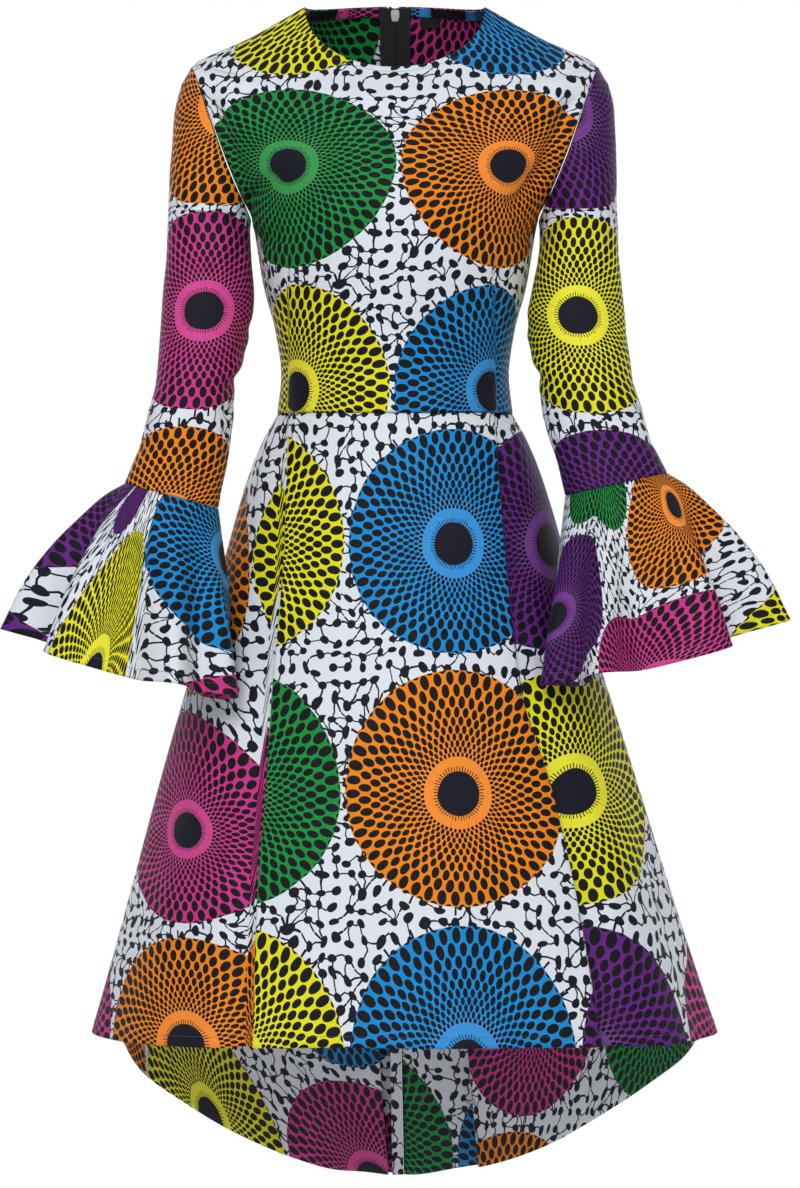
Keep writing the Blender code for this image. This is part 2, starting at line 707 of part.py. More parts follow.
def build_zip(holder):
    outer = back_profile(TAPE_HALF)
    tape = inset_profile(outer, WALL + ZIP_GAP)
    half_gap = SEAM_GAP / 2
    strip("zip_tape_left", half_gap, TAPE_HALF, tape, TAPE_THICK, "tape", holder)
    strip("zip_tape_right", -TAPE_HALF, -half_gap, tape, TAPE_THICK, "tape", holder)
    chain = inset_profile(outer, WALL + ZIP_GAP - CHAIN_THICK - CHAIN_GAP)
    slider_z = chain[0][1] - SLIDER_DROP
    under = [point for point in chain if point[1] < slider_z - SLIDER_HALF[2] - CHAIN_GAP]
    share = (slider_z - SLIDER_HALF[2] - CHAIN_GAP - under[0][1]) / (chain[0][1] - under[0][1])
    top = tuple(a + (b - a) * share for a, b in zip(under[0], chain[0]))
    strip("zip_chain", -CHAIN_HALF, CHAIN_HALF, [top] + under, CHAIN_THICK, "tape", holder)
    build_slider(holder, outer)


def lean_point(base, tilt, out, up):
    """Point out from and up along the leaning back surface."""
    c = math.cos(tilt)
    s = math.sin(tilt)
    return (base[0] + out * c - up * s, base[1] + out * s + up * c)


def build_slider(holder, outer):
    """Slider body, the bridge over its outer face, and the tab that hangs from the bridge."""
    (y0, z0), (y1, z1) = outer[0], outer[2]
    tilt = math.atan2(y1 - y0, z0 - z1)
    share = SLIDER_DROP / (z0 - z1)
    base = (y0 + (y1 - y0) * share, z0 - SLIDER_DROP)
    y, z = lean_point(base, tilt, SLIDER_STAND, 0.0)
    block("zip_slider", (0.0, y, z), SLIDER_HALF, tilt, "metal", holder)
    build_bridge(holder, base, tilt)
    build_pull(holder, base, tilt)


def build_bridge(holder, base, tilt):
    face = SLIDER_STAND + SLIDER_HALF[1]
    path = []
    low = face + BRIDGE_GAP
    high = face + BRIDGE_HEIGHT
    for out, up in ((low, BRIDGE_REACH), (high - BRIDGE_CORNER, BRIDGE_REACH), (high, BRIDGE_REACH - BRIDGE_CORNER)):
        path.append((out, up))
    path = path + [(out, -up) for out, up in reversed(path)]
    curve = bpy.data.curves.new("zip_bridge", "CURVE")
    curve.dimensions = "3D"
    curve.bevel_depth = BRIDGE_RADIUS
    curve.bevel_resolution = 1
    curve.use_fill_caps = True
    line = curve.splines.new("POLY")
    line.points.add(len(path) - 1)
    for spot, (out, up) in zip(line.points, path):
        y, z = lean_point(base, tilt, out, up)
        spot.co = (0.0, y, z, 1.0)
    item = bpy.data.objects.new("zip_bridge", curve)
    item.data.materials.append(material("metal"))
    holder.objects.link(item)


def build_pull(holder, base, tilt):
    """Flat tab with a window round the bridge. Its top bar turns on the hinge line."""
    hinge = lean_point(base, tilt, SLIDER_STAND + SLIDER_HALF[1] + HINGE_STAND, 0.0)
    half = PULL_THICK / 2
    xs = (-PULL_HALF_WIDTH, -PULL_WINDOW_HALF, PULL_WINDOW_HALF, PULL_HALF_WIDTH)
    ups = (half, -half, -PULL_WINDOW_LENGTH, -PULL_LENGTH)
    verts = []
    for up in ups:
        for x in xs:
            y, z = lean_point((0.0, 0.0), tilt, half, up)
            verts.append((x, y, z))
    faces = []
    for r in range(3):
        for c in range(3):
            if r == 1 and c == 1:
                continue
            a = r * 4 + c
            faces.append((a, a + 4, a + 5, a + 1)[::-1])
    item = add_mesh("zip_pull", verts, faces, "metal", holder)
    item.location = (0.0, hinge[0], hinge[1])
    thicken(item, PULL_THICK)
    mod = item.modifiers.new("edges", "BEVEL")
    mod.width = PULL_BEVEL
    mod.segments = 1
    mod.limit_method = "ANGLE"


def build_label(holder):
    """Small blank label, sewn on just under the facing."""
    rows = []
    inset = WALL + CLOTH_GAP
    for n in range(LABEL_STEPS + 1):
        level = NECK_LEVEL - (LABEL_TOP_DROP + LABEL_HEIGHT * n / LABEL_STEPS) / BACK_RISE_PER_LEVEL
        half = BODY.get("half", level)
        row = []
        for i in range(LABEL_STEPS + 1):
            x = LABEL_X + LABEL_HALF_WIDTH * (2 * i / LABEL_STEPS - 1)
            row.append(inward_back_point(math.asin(x / half), level, inset))
        rows.append(row)
    sheet("label", rows, "label", holder, wall=LABEL_THICK)


def main():
    clear_scene()
    holder = bpy.data.collections.new("flared dress")
    bpy.context.scene.collection.children.link(holder)
    build_bodice(holder)
    build_skirt(holder)
    build_sleeves(holder)
    build_flounces(holder)
    build_facings(holder)
    build_zip(holder)
    build_label(holder)


main()
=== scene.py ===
"""Looks of the wax print dress: thin cloth shells, print, seams, stitches, zip and label."""

import math
import random

import bmesh
import bpy
import numpy as np
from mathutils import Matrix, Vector


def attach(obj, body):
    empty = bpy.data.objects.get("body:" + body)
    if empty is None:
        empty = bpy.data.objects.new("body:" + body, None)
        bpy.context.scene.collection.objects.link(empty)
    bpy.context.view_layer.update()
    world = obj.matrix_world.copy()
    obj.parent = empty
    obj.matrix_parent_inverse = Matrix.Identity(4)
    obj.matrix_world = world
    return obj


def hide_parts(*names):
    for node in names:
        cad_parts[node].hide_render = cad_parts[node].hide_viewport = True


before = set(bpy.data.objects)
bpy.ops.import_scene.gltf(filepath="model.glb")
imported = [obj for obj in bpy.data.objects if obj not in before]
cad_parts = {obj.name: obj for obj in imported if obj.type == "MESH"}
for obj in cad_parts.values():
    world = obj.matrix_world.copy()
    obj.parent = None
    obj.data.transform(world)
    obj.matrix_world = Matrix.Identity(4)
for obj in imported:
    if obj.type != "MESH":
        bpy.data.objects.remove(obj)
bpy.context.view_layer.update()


# Body of the dress, from the waist seam up to the neck.
BODY_COLUMNS = ("level", "half", "side_z", "front_z", "back_z", "front", "back", "bow")
BODY_ROWS = (
    (0.0, 0.1175, -0.408, -0.412, -0.408, 0.098, 0.084, 2.0),
    (1.0, 0.1135, -0.368, -0.370, -0.366, 0.099, 0.083, 2.0),
    (2.0, 0.1190, -0.325, -0.325, -0.322, 0.107, 0.089, 2.0),
    (3.0, 0.1310, -0.279, -0.274, -0.275, 0.121, 0.099, 2.0),
    (4.0, 0.1430, -0.212, -0.210, -0.210, 0.132, 0.110, 2.0),
    (5.0, 0.1560, -0.184, -0.182, -0.178, 0.131, 0.114, 2.0),
    (6.0, 0.1710, -0.148, -0.158, -0.142, 0.126, 0.117, 2.0),
    (7.0, 0.1850, -0.110, -0.134, -0.102, 0.117, 0.115, 2.0),
    (8.0, 0.1965, -0.077, -0.113, -0.066, 0.105, 0.108, 1.9),
    (9.0, 0.2015, -0.060, -0.099, -0.041, 0.094, 0.098, 1.7),
    (10.0, 0.1450, -0.031, -0.085, -0.012, 0.079, 0.079, 1.35),
    (11.0, 0.0900, 0.000, -0.071, 0.012, 0.065, 0.061, 1.0),
)
ARMPIT_LEVEL = 4.0
SHOULDER_LEVEL = 9.0
NECK_LEVEL = 11.0
ARMHOLE_HALF_DEPTH = 0.058
SEAM_GAP = 0.0003
ARMHOLE_GAP = 0.0006
ARMHOLE_LEAN = 0.4

SLEEVE_COLUMNS = ("station", "out_x", "out_z", "in_x", "in_z", "forward", "deep")
SLEEVE_ROWS = {
    "right": (
        (1.0, 0.2130, -0.078, 0.1445, -0.222, 0.000, 0.0585),
        (2.0, 0.2200, -0.108, 0.1440, -0.238, 0.001, 0.0580),
        (3.0, 0.2240, -0.155, 0.1425, -0.260, 0.003, 0.0560),
        (4.0, 0.2270, -0.220, 0.1410, -0.290, 0.007, 0.0530),
        (5.0, 0.2310, -0.300, 0.1430, -0.326, 0.020, 0.0500),
        (6.0, 0.2350, -0.366, 0.1520, -0.374, 0.040, 0.0470),
        (7.0, 0.2430, -0.416, 0.1600, -0.428, 0.062, 0.0440),
        (8.0, 0.2510, -0.450, 0.1650, -0.468, 0.080, 0.0415),
        (9.0, 0.2620, -0.480, 0.1710, -0.504, 0.094, 0.0400),
    ),
    "left": (
        (1.0, 0.2130, -0.078, 0.1445, -0.222, 0.000, 0.0585),
        (2.0, 0.2190, -0.108, 0.1440, -0.238, 0.001, 0.0580),
        (3.0, 0.2210, -0.155, 0.1420, -0.258, 0.003, 0.0560),
        (4.0, 0.2220, -0.220, 0.1360, -0.285, 0.007, 0.0530),
        (5.0, 0.2270, -0.300, 0.1300, -0.322, 0.020, 0.0500),
        (6.0, 0.2330, -0.360, 0.1360, -0.370, 0.040, 0.0470),
        (7.0, 0.2430, -0.411, 0.1480, -0.424, 0.062, 0.0440),
        (8.0, 0.2520, -0.443, 0.1590, -0.462, 0.080, 0.0415),
        (9.0, 0.2640, -0.470, 0.1650, -0.492, 0.094, 0.0400),
    ),
}
SLEEVE_LAST = 9.0

FLOUNCE_COLUMNS = (
    "way", "out", "inward", "front", "back", "down_out", "down_in", "down_front", "down_back", "wave"
)
FLOUNCE_ROWS = (
    (0.00, 0.0000, 0.0000, 0.0000, 0.0000, 0.0000, 0.0000, 0.0000, 0.0000, 0.000),
    (0.12, 0.0170, 0.0030, 0.0080, 0.0070, 0.0110, 0.0230, 0.0205, 0.0205, 0.020),
    (0.30, 0.0380, 0.0080, 0.0220, 0.0170, 0.0350, 0.0560, 0.0510, 0.0510, 0.070),
    (0.50, 0.0560, 0.0140, 0.0350, 0.0260, 0.0620, 0.0930, 0.0870, 0.0860, 0.130),
    (0.75, 0.0750, 0.0210, 0.0470, 0.0340, 0.1010, 0.1390, 0.1330, 0.1310, 0.185),
    (1.00, 0.0910, 0.0270, 0.0540, 0.0390, 0.1460, 0.1840, 0.1780, 0.1740, 0.210),
)
FLOUNCE_WAVES = 8
SKIRT_CLEARANCE = 0.0050
PRESS_POWER = 5.0

SKIRT_COLUMNS = ("drop", "half", "front", "back")
SKIRT_ROWS = (
    (0.000, 0.1175, 0.098, 0.084),
    (0.022, 0.1300, 0.105, 0.095),
    (0.052, 0.1430, 0.113, 0.107),
    (0.095, 0.1570, 0.123, 0.119),
    (0.134, 0.1680, 0.132, 0.130),
    (0.285, 0.2140, 0.166, 0.166),
    (0.345, 0.2320, 0.179, 0.180),
    (0.471, 0.2685, 0.209, 0.211),
    (0.573, 0.2990, 0.235, 0.238),
    (0.614, 0.3120, 0.245, 0.247),
    (0.830, 0.3760, 0.280, 0.285),
)
HEM_SIDE_Z = -1.022
HEM_FRONT_Z = -1.005
HEM_BACK_Z = -1.220
HEM_DRIFT = 0.0095

PLEAT_COLUMNS = ("way", "fold_left", "fold_right", "depth_left", "depth_right", "lift")
FRONT_PLEAT_ROWS = (
    (0.00, -0.105, 0.098, 0.056, 0.058, 0.0033),
    (0.21, -0.108, 0.106, 0.059, 0.058, 0.0036),
    (0.44, -0.119, 0.119, 0.072, 0.053, 0.0047),
    (0.60, -0.126, 0.147, 0.083, 0.051, 0.0060),
    (0.77, -0.1355, 0.168, 0.088, 0.054, 0.0080),
    (1.00, -0.143, 0.187, 0.091, 0.060, 0.0100),
)
BACK_PLEAT_ROWS = (
    (0.00, -0.090, 0.090, 0.045, 0.045, 0.0033),
    (0.30, -0.098, 0.102, 0.055, 0.053, 0.0040),
    (0.60, -0.110, 0.128, 0.074, 0.068, 0.0065),
    (1.00, -0.130, 0.177, 0.106, 0.094, 0.0110),
)
PLEAT_RAMP = 0.045
PLEAT_RAMP_SHARE = 0.6
UNDER_LAYER_SHARE = 1.45
UNDER_LAYER_DROP = 0.6
ZIP_END_WAY = 0.25
ZIP_HALF_OPENING = 0.0036

SHELL = 0.0006

# The print: a straight lattice of record discs on the bolt, in metres.
PITCH_U = 0.2135
PITCH_V = 0.240
DISC_RADIUS = 0.1045
DISC_TALL = 1.07
PUPIL_RADIUS = 0.0198
LASH_RADIUS = 0.0238
RING_RADIUS = 0.0312
DOTS_ROUND = 50
DOT_STEP = 0.1180
GROUND_PITCH = 0.0136
GROUND_TALL = 1.10
GROUND_BEND = 1.35
OVAL_LONG = 0.330
OVAL_WIDE = 0.250
LINE_NEAR = 0.0032
LINK_SHARE = 0.50
CORNER_SHARE = 0.16


def slopes(xs, ys):
    step = np.diff(xs)
    rise = np.diff(ys) / step
    out = np.zeros(len(xs))
    out[0] = rise[0]
    out[-1] = rise[-1]
    for i in range(1, len(xs) - 1):
        if rise[i - 1] * rise[i] > 0.0:
            near = 2.0 * step[i] + step[i - 1]
            far = step[i] + 2.0 * step[i - 1]
            out[i] = (near + far) / (near / rise[i - 1] + far / rise[i])
    return out


class Table:
    """A table with named columns, read smoothly along its first column."""

    def __init__(self, columns, rows):
        data = np.array(rows, dtype=float)
        self.keys = data[:, 0]
        self.values = {name: data[:, i] for i, name in enumerate(columns)}
        self.slopes = {name: slopes(self.keys, data[:, i]) for i, name in enumerate(columns)}

    def get(self, name, at):
        """Works on one number or on an array of them."""
        keys = self.keys
        at = np.clip(at, keys[0], keys[-1])
        i = np.clip(np.searchsorted(keys, at, side="right") - 1, 0, len(keys) - 2)
        width = keys[i + 1] - keys[i]
        f = (at - keys[i]) / width
        a = self.values[name][i]
        b = self.values[name][i + 1]
        da = self.slopes[name][i] * width
        db = self.slopes[name][i + 1] * width
        ff = f * f
        fff = ff * f
        return a * (2 * fff - 3 * ff + 1) + da * (fff - 2 * ff + f) + b * (3 * ff - 2 * fff) + db * (fff - ff)


BODY = Table(BODY_COLUMNS, BODY_ROWS)
SKIRT = Table(SKIRT_COLUMNS, SKIRT_ROWS)
FLOUNCE = Table(FLOUNCE_COLUMNS, FLOUNCE_ROWS)
FRONT_PLEAT = Table(PLEAT_COLUMNS, FRONT_PLEAT_ROWS)
BACK_PLEAT = Table(PLEAT_COLUMNS, BACK_PLEAT_ROWS)
SLEEVES = {side: Table(SLEEVE_COLUMNS, rows) for side, rows in SLEEVE_ROWS.items()}
SIGN = {"left": 1.0, "right": -1.0}
PICTURE_SIDE = {"left": "right", "right": "left"}
WAIST_Z = float(BODY.get("side_z", 0.0))


def armhole_depth(level):
    f = (np.asarray(level, dtype=float) - ARMPIT_LEVEL) / (SHOULDER_LEVEL - ARMPIT_LEVEL)
    inside = (f > 0.0) & (f < 1.0)
    f = np.clip(f, 0.0, 1.0)
    return np.where(inside, ARMHOLE_HALF_DEPTH * np.sqrt(np.clip(1.0 - (2.0 * f - 1.0) ** 2, 0.0, 1.0)), 0.0)


def edge_angle(level, face):
    return np.arccos(armhole_depth(level) / BODY.get(face, level))


def body_points(angle, level, face):
    """Points on the body. angle is 0 at the middle of the front or back. Arrays broadcast."""
    depth = BODY.get(face, level)
    edge = edge_angle(level, face)
    bow = BODY.get("bow", level) if face == "front" else 2.0
    middle_z = BODY.get(face + "_z", level)
    rise = (BODY.get("side_z", level) - middle_z) / (1.0 - np.maximum(np.cos(edge), 0.0) ** bow)
    share = 1.0 - np.maximum(np.cos(angle), 0.0) ** bow
    x = BODY.get("half", level) / np.sin(edge) * np.sin(angle)
    y = np.cos(angle) * depth
    z = middle_z + rise * share
    return np.stack(np.broadcast_arrays(x, -y if face == "front" else y, z), axis=-1)


def skirt_z(angle, way, face):
    s = np.sin(angle)
    middle = HEM_FRONT_Z if face == "front" else HEM_BACK_Z
    hem = HEM_SIDE_Z * s * s + middle * (1.0 - s * s)
    top = WAIST_Z * s * s + float(BODY.get(face + "_z", 0.0)) * (1.0 - s * s)
    return top + (hem - top) * way


def skirt_points(angle, way, face, inward=0.0):
    z = skirt_z(angle, way, face)
    drop = np.maximum(WAIST_Z - z, 0.0)
    half = SKIRT.get("half", drop)
    depth = SKIRT.get(face, drop)
    sign = -1.0 if face == "front" else 1.0
    x = half * np.sin(angle)
    y = sign * depth * np.cos(angle)
    nx = np.sin(angle) / half
    ny = sign * np.cos(angle) / depth
    size = np.hypot(nx, ny)
    z = z - UNDER_LAYER_DROP * inward * (1.0 - way)
    x = x - nx / size * inward + HEM_DRIFT * way * way
    return np.stack(np.broadcast_arrays(x, y - ny / size * inward, z), axis=-1)


def fold_angle(x, way, face):
    angle = 0.0
    for _ in range(8):
        drop = max(WAIST_Z - float(skirt_z(angle, way, face)), 0.0)
        angle = math.asin(max(-0.98, min(0.98, x / float(SKIRT.get("half", drop)))))
    return angle


def even_steps(first, last, count):
    return [first + (last - first) * i / count for i in range(count + 1)]


def pleat_path(fold, depth, lift, half, deep, first, last, sign, flat_count, side_count):
    """Angles and inward offsets of cloth from the middle out through one knife pleat."""
    reach = math.hypot(half * math.cos(fold), deep * math.sin(fold))
    turn = lift / 2 / reach
    middle = fold - depth / reach / 2
    hidden = depth / math.hypot(half * math.cos(middle), deep * math.sin(middle))
    ramp = min(PLEAT_RAMP / reach, PLEAT_RAMP_SHARE * (last - fold))
    under = lift * UNDER_LAYER_SHARE
    path = [(a, 0.0) for a in even_steps(first, fold - turn, flat_count)]
    for k in range(1, 6):
        bend = math.pi * k / 6
        path.append((fold - turn + turn * math.sin(bend), lift / 2 * (1 - math.cos(bend))))
    inner = fold - turn - hidden
    path += [(a, lift) for a in even_steps(fold - turn, inner, 10)]
    small = (under - lift) / 2 / reach
    for k in range(1, 4):
        bend = math.pi * k / 4
        path.append((inner - small * math.sin(bend), lift + (under - lift) / 2 * (1 - math.cos(bend))))
    path += [(a, under) for a in even_steps(inner, fold, 10)]
    for k in range(1, 9):
        share = k / 8
        ease = share * share * (3 - 2 * share)
        path.append((fold + ramp * share, under * (1 - ease)))
    path += [(a, 0.0) for a in even_steps(fold + ramp, last, side_count)[1:]]
    return [(sign * a, inward) for a, inward in path]


# Soft creases, in the plane seen from the front or the back: a trough or a ridge from one
# end to the other. depth is towards the inside, in metres; below zero it is a ridge.
FRONT_CREASES = (
    (-0.150, -0.200, -0.106, -0.178, 0.0065, 0.0070),
    (-0.143, -0.222, -0.100, -0.206, 0.0070, -0.0022),
    (-0.140, -0.238, -0.104, -0.236, 0.0080, 0.0040),
    (-0.176, -0.118, -0.150, -0.180, 0.0080, 0.0060),
    (-0.165, -0.100, -0.120, -0.150, 0.0120, -0.0016),
    (0.172, -0.112, 0.140, -0.182, 0.0090, 0.0085),
    (0.142, -0.178, 0.116, -0.206, 0.0065, 0.0070),
    (0.140, -0.206, 0.104, -0.196, 0.0070, -0.0022),
    (0.137, -0.232, 0.110, -0.236, 0.0080, 0.0040),
    (0.160, -0.095, 0.118, -0.140, 0.0120, -0.0016),
    (-0.060, -0.300, 0.010, -0.285, 0.0150, 0.0010),
    (0.030, -0.330, 0.090, -0.318, 0.0130, 0.0010),
    (-0.090, -0.372, -0.030, -0.366, 0.0100, 0.0012),
    (0.020, -0.388, 0.080, -0.380, 0.0100, 0.0012),
)
BACK_CREASES = (
    (-0.140, -0.200, -0.080, -0.150, 0.0100, 0.0032),
    (0.140, -0.198, 0.082, -0.152, 0.0100, 0.0034),
    (-0.090, -0.330, -0.020, -0.345, 0.0110, 0.0030),
    (0.095, -0.326, 0.025, -0.346, 0.0110, 0.0028),
    (-0.085, -0.362, -0.015, -0.372, 0.0100, 0.0032),
    (0.088, -0.360, 0.014, -0.374, 0.0100, 0.0030),
    (-0.060, -0.060, 0.055, -0.064, 0.0160, 0.0014),
    (-0.150, -0.090, -0.100, -0.120, 0.0120, 0.0016),
    (0.152, -0.092, 0.104, -0.118, 0.0120, 0.0016),
)


def crease_depth(x, z, rows):
    total = np.zeros_like(x)
    for x0, z0, x1, z1, width, depth in rows:
        dx = x1 - x0
        dz = z1 - z0
        length = dx * dx + dz * dz
        along = ((x - x0) * dx + (z - z0) * dz) / length
        near = np.clip(along, 0.0, 1.0)
        away = np.hypot(x - (x0 + dx * near), z - (z0 + dz * near))
        taper = 1.0 - 0.45 * near
        total += depth * taper * np.exp(-((away / width) ** 2))
    return total


def grid_normals(points, closed=False):
    """Unit normals of a grid of points, pointing the way the grid's turn gives."""
    if closed:
        along = np.roll(points, -1, axis=1) - np.roll(points, 1, axis=1)
    else:
        along = np.gradient(points, axis=1)
    down = np.gradient(points, axis=0)
    normal = np.cross(along, down)
    size = np.linalg.norm(normal, axis=-1, keepdims=True)
    return normal / np.maximum(size, 1e-12)


def row_lengths(points):
    """Length of cloth along each row, starting at the first column."""
    step = np.linalg.norm(np.diff(points, axis=1), axis=-1)
    return np.concatenate([np.zeros((points.shape[0], 1)), np.cumsum(step, axis=1)], axis=1)


def column_lengths(points):
    step = np.linalg.norm(np.diff(points, axis=0), axis=-1)
    return np.concatenate([np.zeros((1, points.shape[1])), np.cumsum(step, axis=0)], axis=0)


def smooth_noise(x, y, seed, size):
    """Gentle unevenness made of a few waves."""
    rng = random.Random(seed)
    total = np.zeros_like(x)
    for _ in range(6):
        angle = rng.uniform(0, 2 * math.pi)
        phase = rng.uniform(0, 2 * math.pi)
        rate = 2 * math.pi / (size * rng.uniform(0.7, 1.6))
        total += np.sin((x * math.cos(angle) + y * math.sin(angle)) * rate + phase)
    return total / 6


# Materials


class Wire:
    """One value in a node tree, so that sums can be written as sums."""

    def __init__(self, tree, socket):
        self.tree = tree
        self.socket = socket

    def _math(self, operation, *others):
        node = self.tree.nodes.new("ShaderNodeMath")
        node.operation = operation
        feed(self.tree, node.inputs[0], self)
        for i, other in enumerate(others):
            feed(self.tree, node.inputs[i + 1], other)
        return Wire(self.tree, node.outputs[0])

    def __add__(self, other):
        return self._math("ADD", other)

    def __sub__(self, other):
        return self._math("SUBTRACT", other)

    def __mul__(self, other):
        return self._math("MULTIPLY", other)

    def __truediv__(self, other):
        return self._math("DIVIDE", other)

    def less(self, other):
        return self._math("LESS_THAN", other)

    def more(self, other):
        return self._math("GREATER_THAN", other)

    def floor(self):
        return self._math("FLOOR")

    def fract(self):
        return self._math("FRACT")

    def abs(self):
        return self._math("ABSOLUTE")

    def sqrt(self):
        return self._math("SQRT")

    def sin(self):
        return self._math("SINE")

    def cos(self):
        return self._math("COSINE")

    def ln(self):
        return self._math("LOGARITHM", math.e)

    def atan2(self, other):
        return self._math("ARCTAN2", other)

    def modulo(self, other):
        return self._math("FLOORED_MODULO", other)

    def least(self, other):
        return self._math("MINIMUM", other)

    def most(self, other):
        return self._math("MAXIMUM", other)

    def clamp(self):
        node = self.tree.nodes.new("ShaderNodeClamp")
        feed(self.tree, node.inputs[0], self)
        return Wire(self.tree, node.outputs[0])

    def ramp(self, low, high):
        """0 below low and 1 above high, smooth between."""
        node = self.tree.nodes.new("ShaderNodeMapRange")
        node.interpolation_type = "SMOOTHSTEP"
        feed(self.tree, node.inputs["Value"], self)
        node.inputs["From Min"].default_value = low
        node.inputs["From Max"].default_value = high
        return Wire(self.tree, node.outputs["Result"])


def feed(tree, socket, value):
    if isinstance(value, Wire):
        tree.links.new(value.socket, socket)
    else:
        socket.default_value = value


def split(tree, vector):
    node = tree.nodes.new("ShaderNodeSeparateXYZ")
    tree.links.new(vector.socket, node.inputs[0])
    return Wire(tree, node.outputs[0]), Wire(tree, node.outputs[1])


def join(tree, x, y, z=0.0):
    node = tree.nodes.new("ShaderNodeCombineXYZ")
    feed(tree, node.inputs[0], x)
    feed(tree, node.inputs[1], y)
    feed(tree, node.inputs[2], z)
    return Wire(tree, node.outputs[0])


def white_noise(tree, vector):
    node = tree.nodes.new("ShaderNodeTexWhiteNoise")
    node.noise_dimensions = "3D"
    tree.links.new(vector.socket, node.inputs["Vector"])
    return Wire(tree, node.outputs["Value"])


def noise(tree, vector, scale, detail=2.0):
    node = tree.nodes.new("ShaderNodeTexNoise")
    node.inputs["Scale"].default_value = scale
    node.inputs["Detail"].default_value = detail
    tree.links.new(vector.socket, node.inputs["Vector"])
    return Wire(tree, node.outputs[0])


def mix_colour(tree, factor, a, b):
    node = tree.nodes.new("ShaderNodeMix")
    node.data_type = "RGBA"
    feed(tree, node.inputs[0], factor)
    feed(tree, node.inputs[6], a)
    feed(tree, node.inputs[7], b)
    return Wire(tree, node.outputs[2])


def linear(rgb):
    """A screen colour, 0 to 255, as the light values that shaders take."""
    out = []
    for value in rgb:
        c = value / 255.0
        out.append(c / 12.92 if c <= 0.04045 else ((c + 0.055) / 1.055) ** 2.4)
    return (out[0], out[1], out[2], 1.0)


BLUE = (0, 146, 224)
ORANGE = (255, 142, 0)
PURPLE = (106, 28, 138)
YELLOW = (242, 238, 10)
GREEN = (0, 152, 62)
PINK = (214, 52, 146)
# Colour pairs of the disc columns across the bolt, even row first, for each part of the dress.
BOLT = (
    (BLUE, ORANGE),
    (PURPLE, YELLOW),
    (PINK, GREEN),
    (ORANGE, PINK),
    (YELLOW, GREEN),
)
BACK_BOLT = (
    (PINK, YELLOW),
    (PINK, BLUE),
    (PINK, BLUE),
    (YELLOW, GREEN),
    (ORANGE, PURPLE),
    (PURPLE, GREEN),
    (YELLOW, GREEN),
    (ORANGE, PINK),
    (BLUE, PURPLE),
    (GREEN, YELLOW),
)
CUFF_BOLT = (
    (PURPLE, PURPLE),
    (YELLOW, PURPLE),
    (BLUE, PINK),
    (GREEN, PURPLE),
    (ORANGE, PINK),
    (GREEN, YELLOW),
)
DOT_COLOUR = (10, 10, 14)
NAVY = (16, 16, 32)
WHITE = (228, 234, 242)


def disc_palette(tree, index, bolt):
    node = tree.nodes.new("ShaderNodeValToRGB")
    ramp = node.color_ramp
    ramp.interpolation = "CONSTANT"
    colours = [linear(c) for pair in bolt for c in pair]
    while len(ramp.elements) < len(colours):
        ramp.elements.new(0.5)
    for i, colour in enumerate(colours):
        ramp.elements[i].position = i / len(colours)
        ramp.elements[i].color = colour
    feed(tree, node.inputs[0], index)
    return Wire(tree, node.outputs[0])


def oval_row(tree, ring, turn, shift, count):
    """Nearness to the ovals of one set of rings: below one inside an oval."""
    k = (ring + shift) / 2.0
    row = k.floor()
    fy = k.fract() - 0.5
    a = turn * (count / (2 * math.pi)) + shift * 0.5
    cell = a.floor()
    fx = a.fract() - 0.5
    pick = white_noise(tree, join(tree, cell, row, shift * 7.0 + 3.0))
    wide = pick * 0.045 + 0.300
    tall = pick * 0.035 + 0.262
    tx = fx / wide
    ty = fy / tall
    return (tx * tx + ty * ty).sqrt()


def near_line(px, py, ax, ay, bx, by):
    """Squared distance from a point to the line between two points."""
    ex = bx - ax
    ey = by - ay
    lx = px - ax
    ly = py - ay
    along = ((lx * ex + ly * ey) / (ex * ex + ey * ey)).clamp()
    sx = lx - ex * along
    sy = ly - ey * along
    return sx * sx + sy * sy


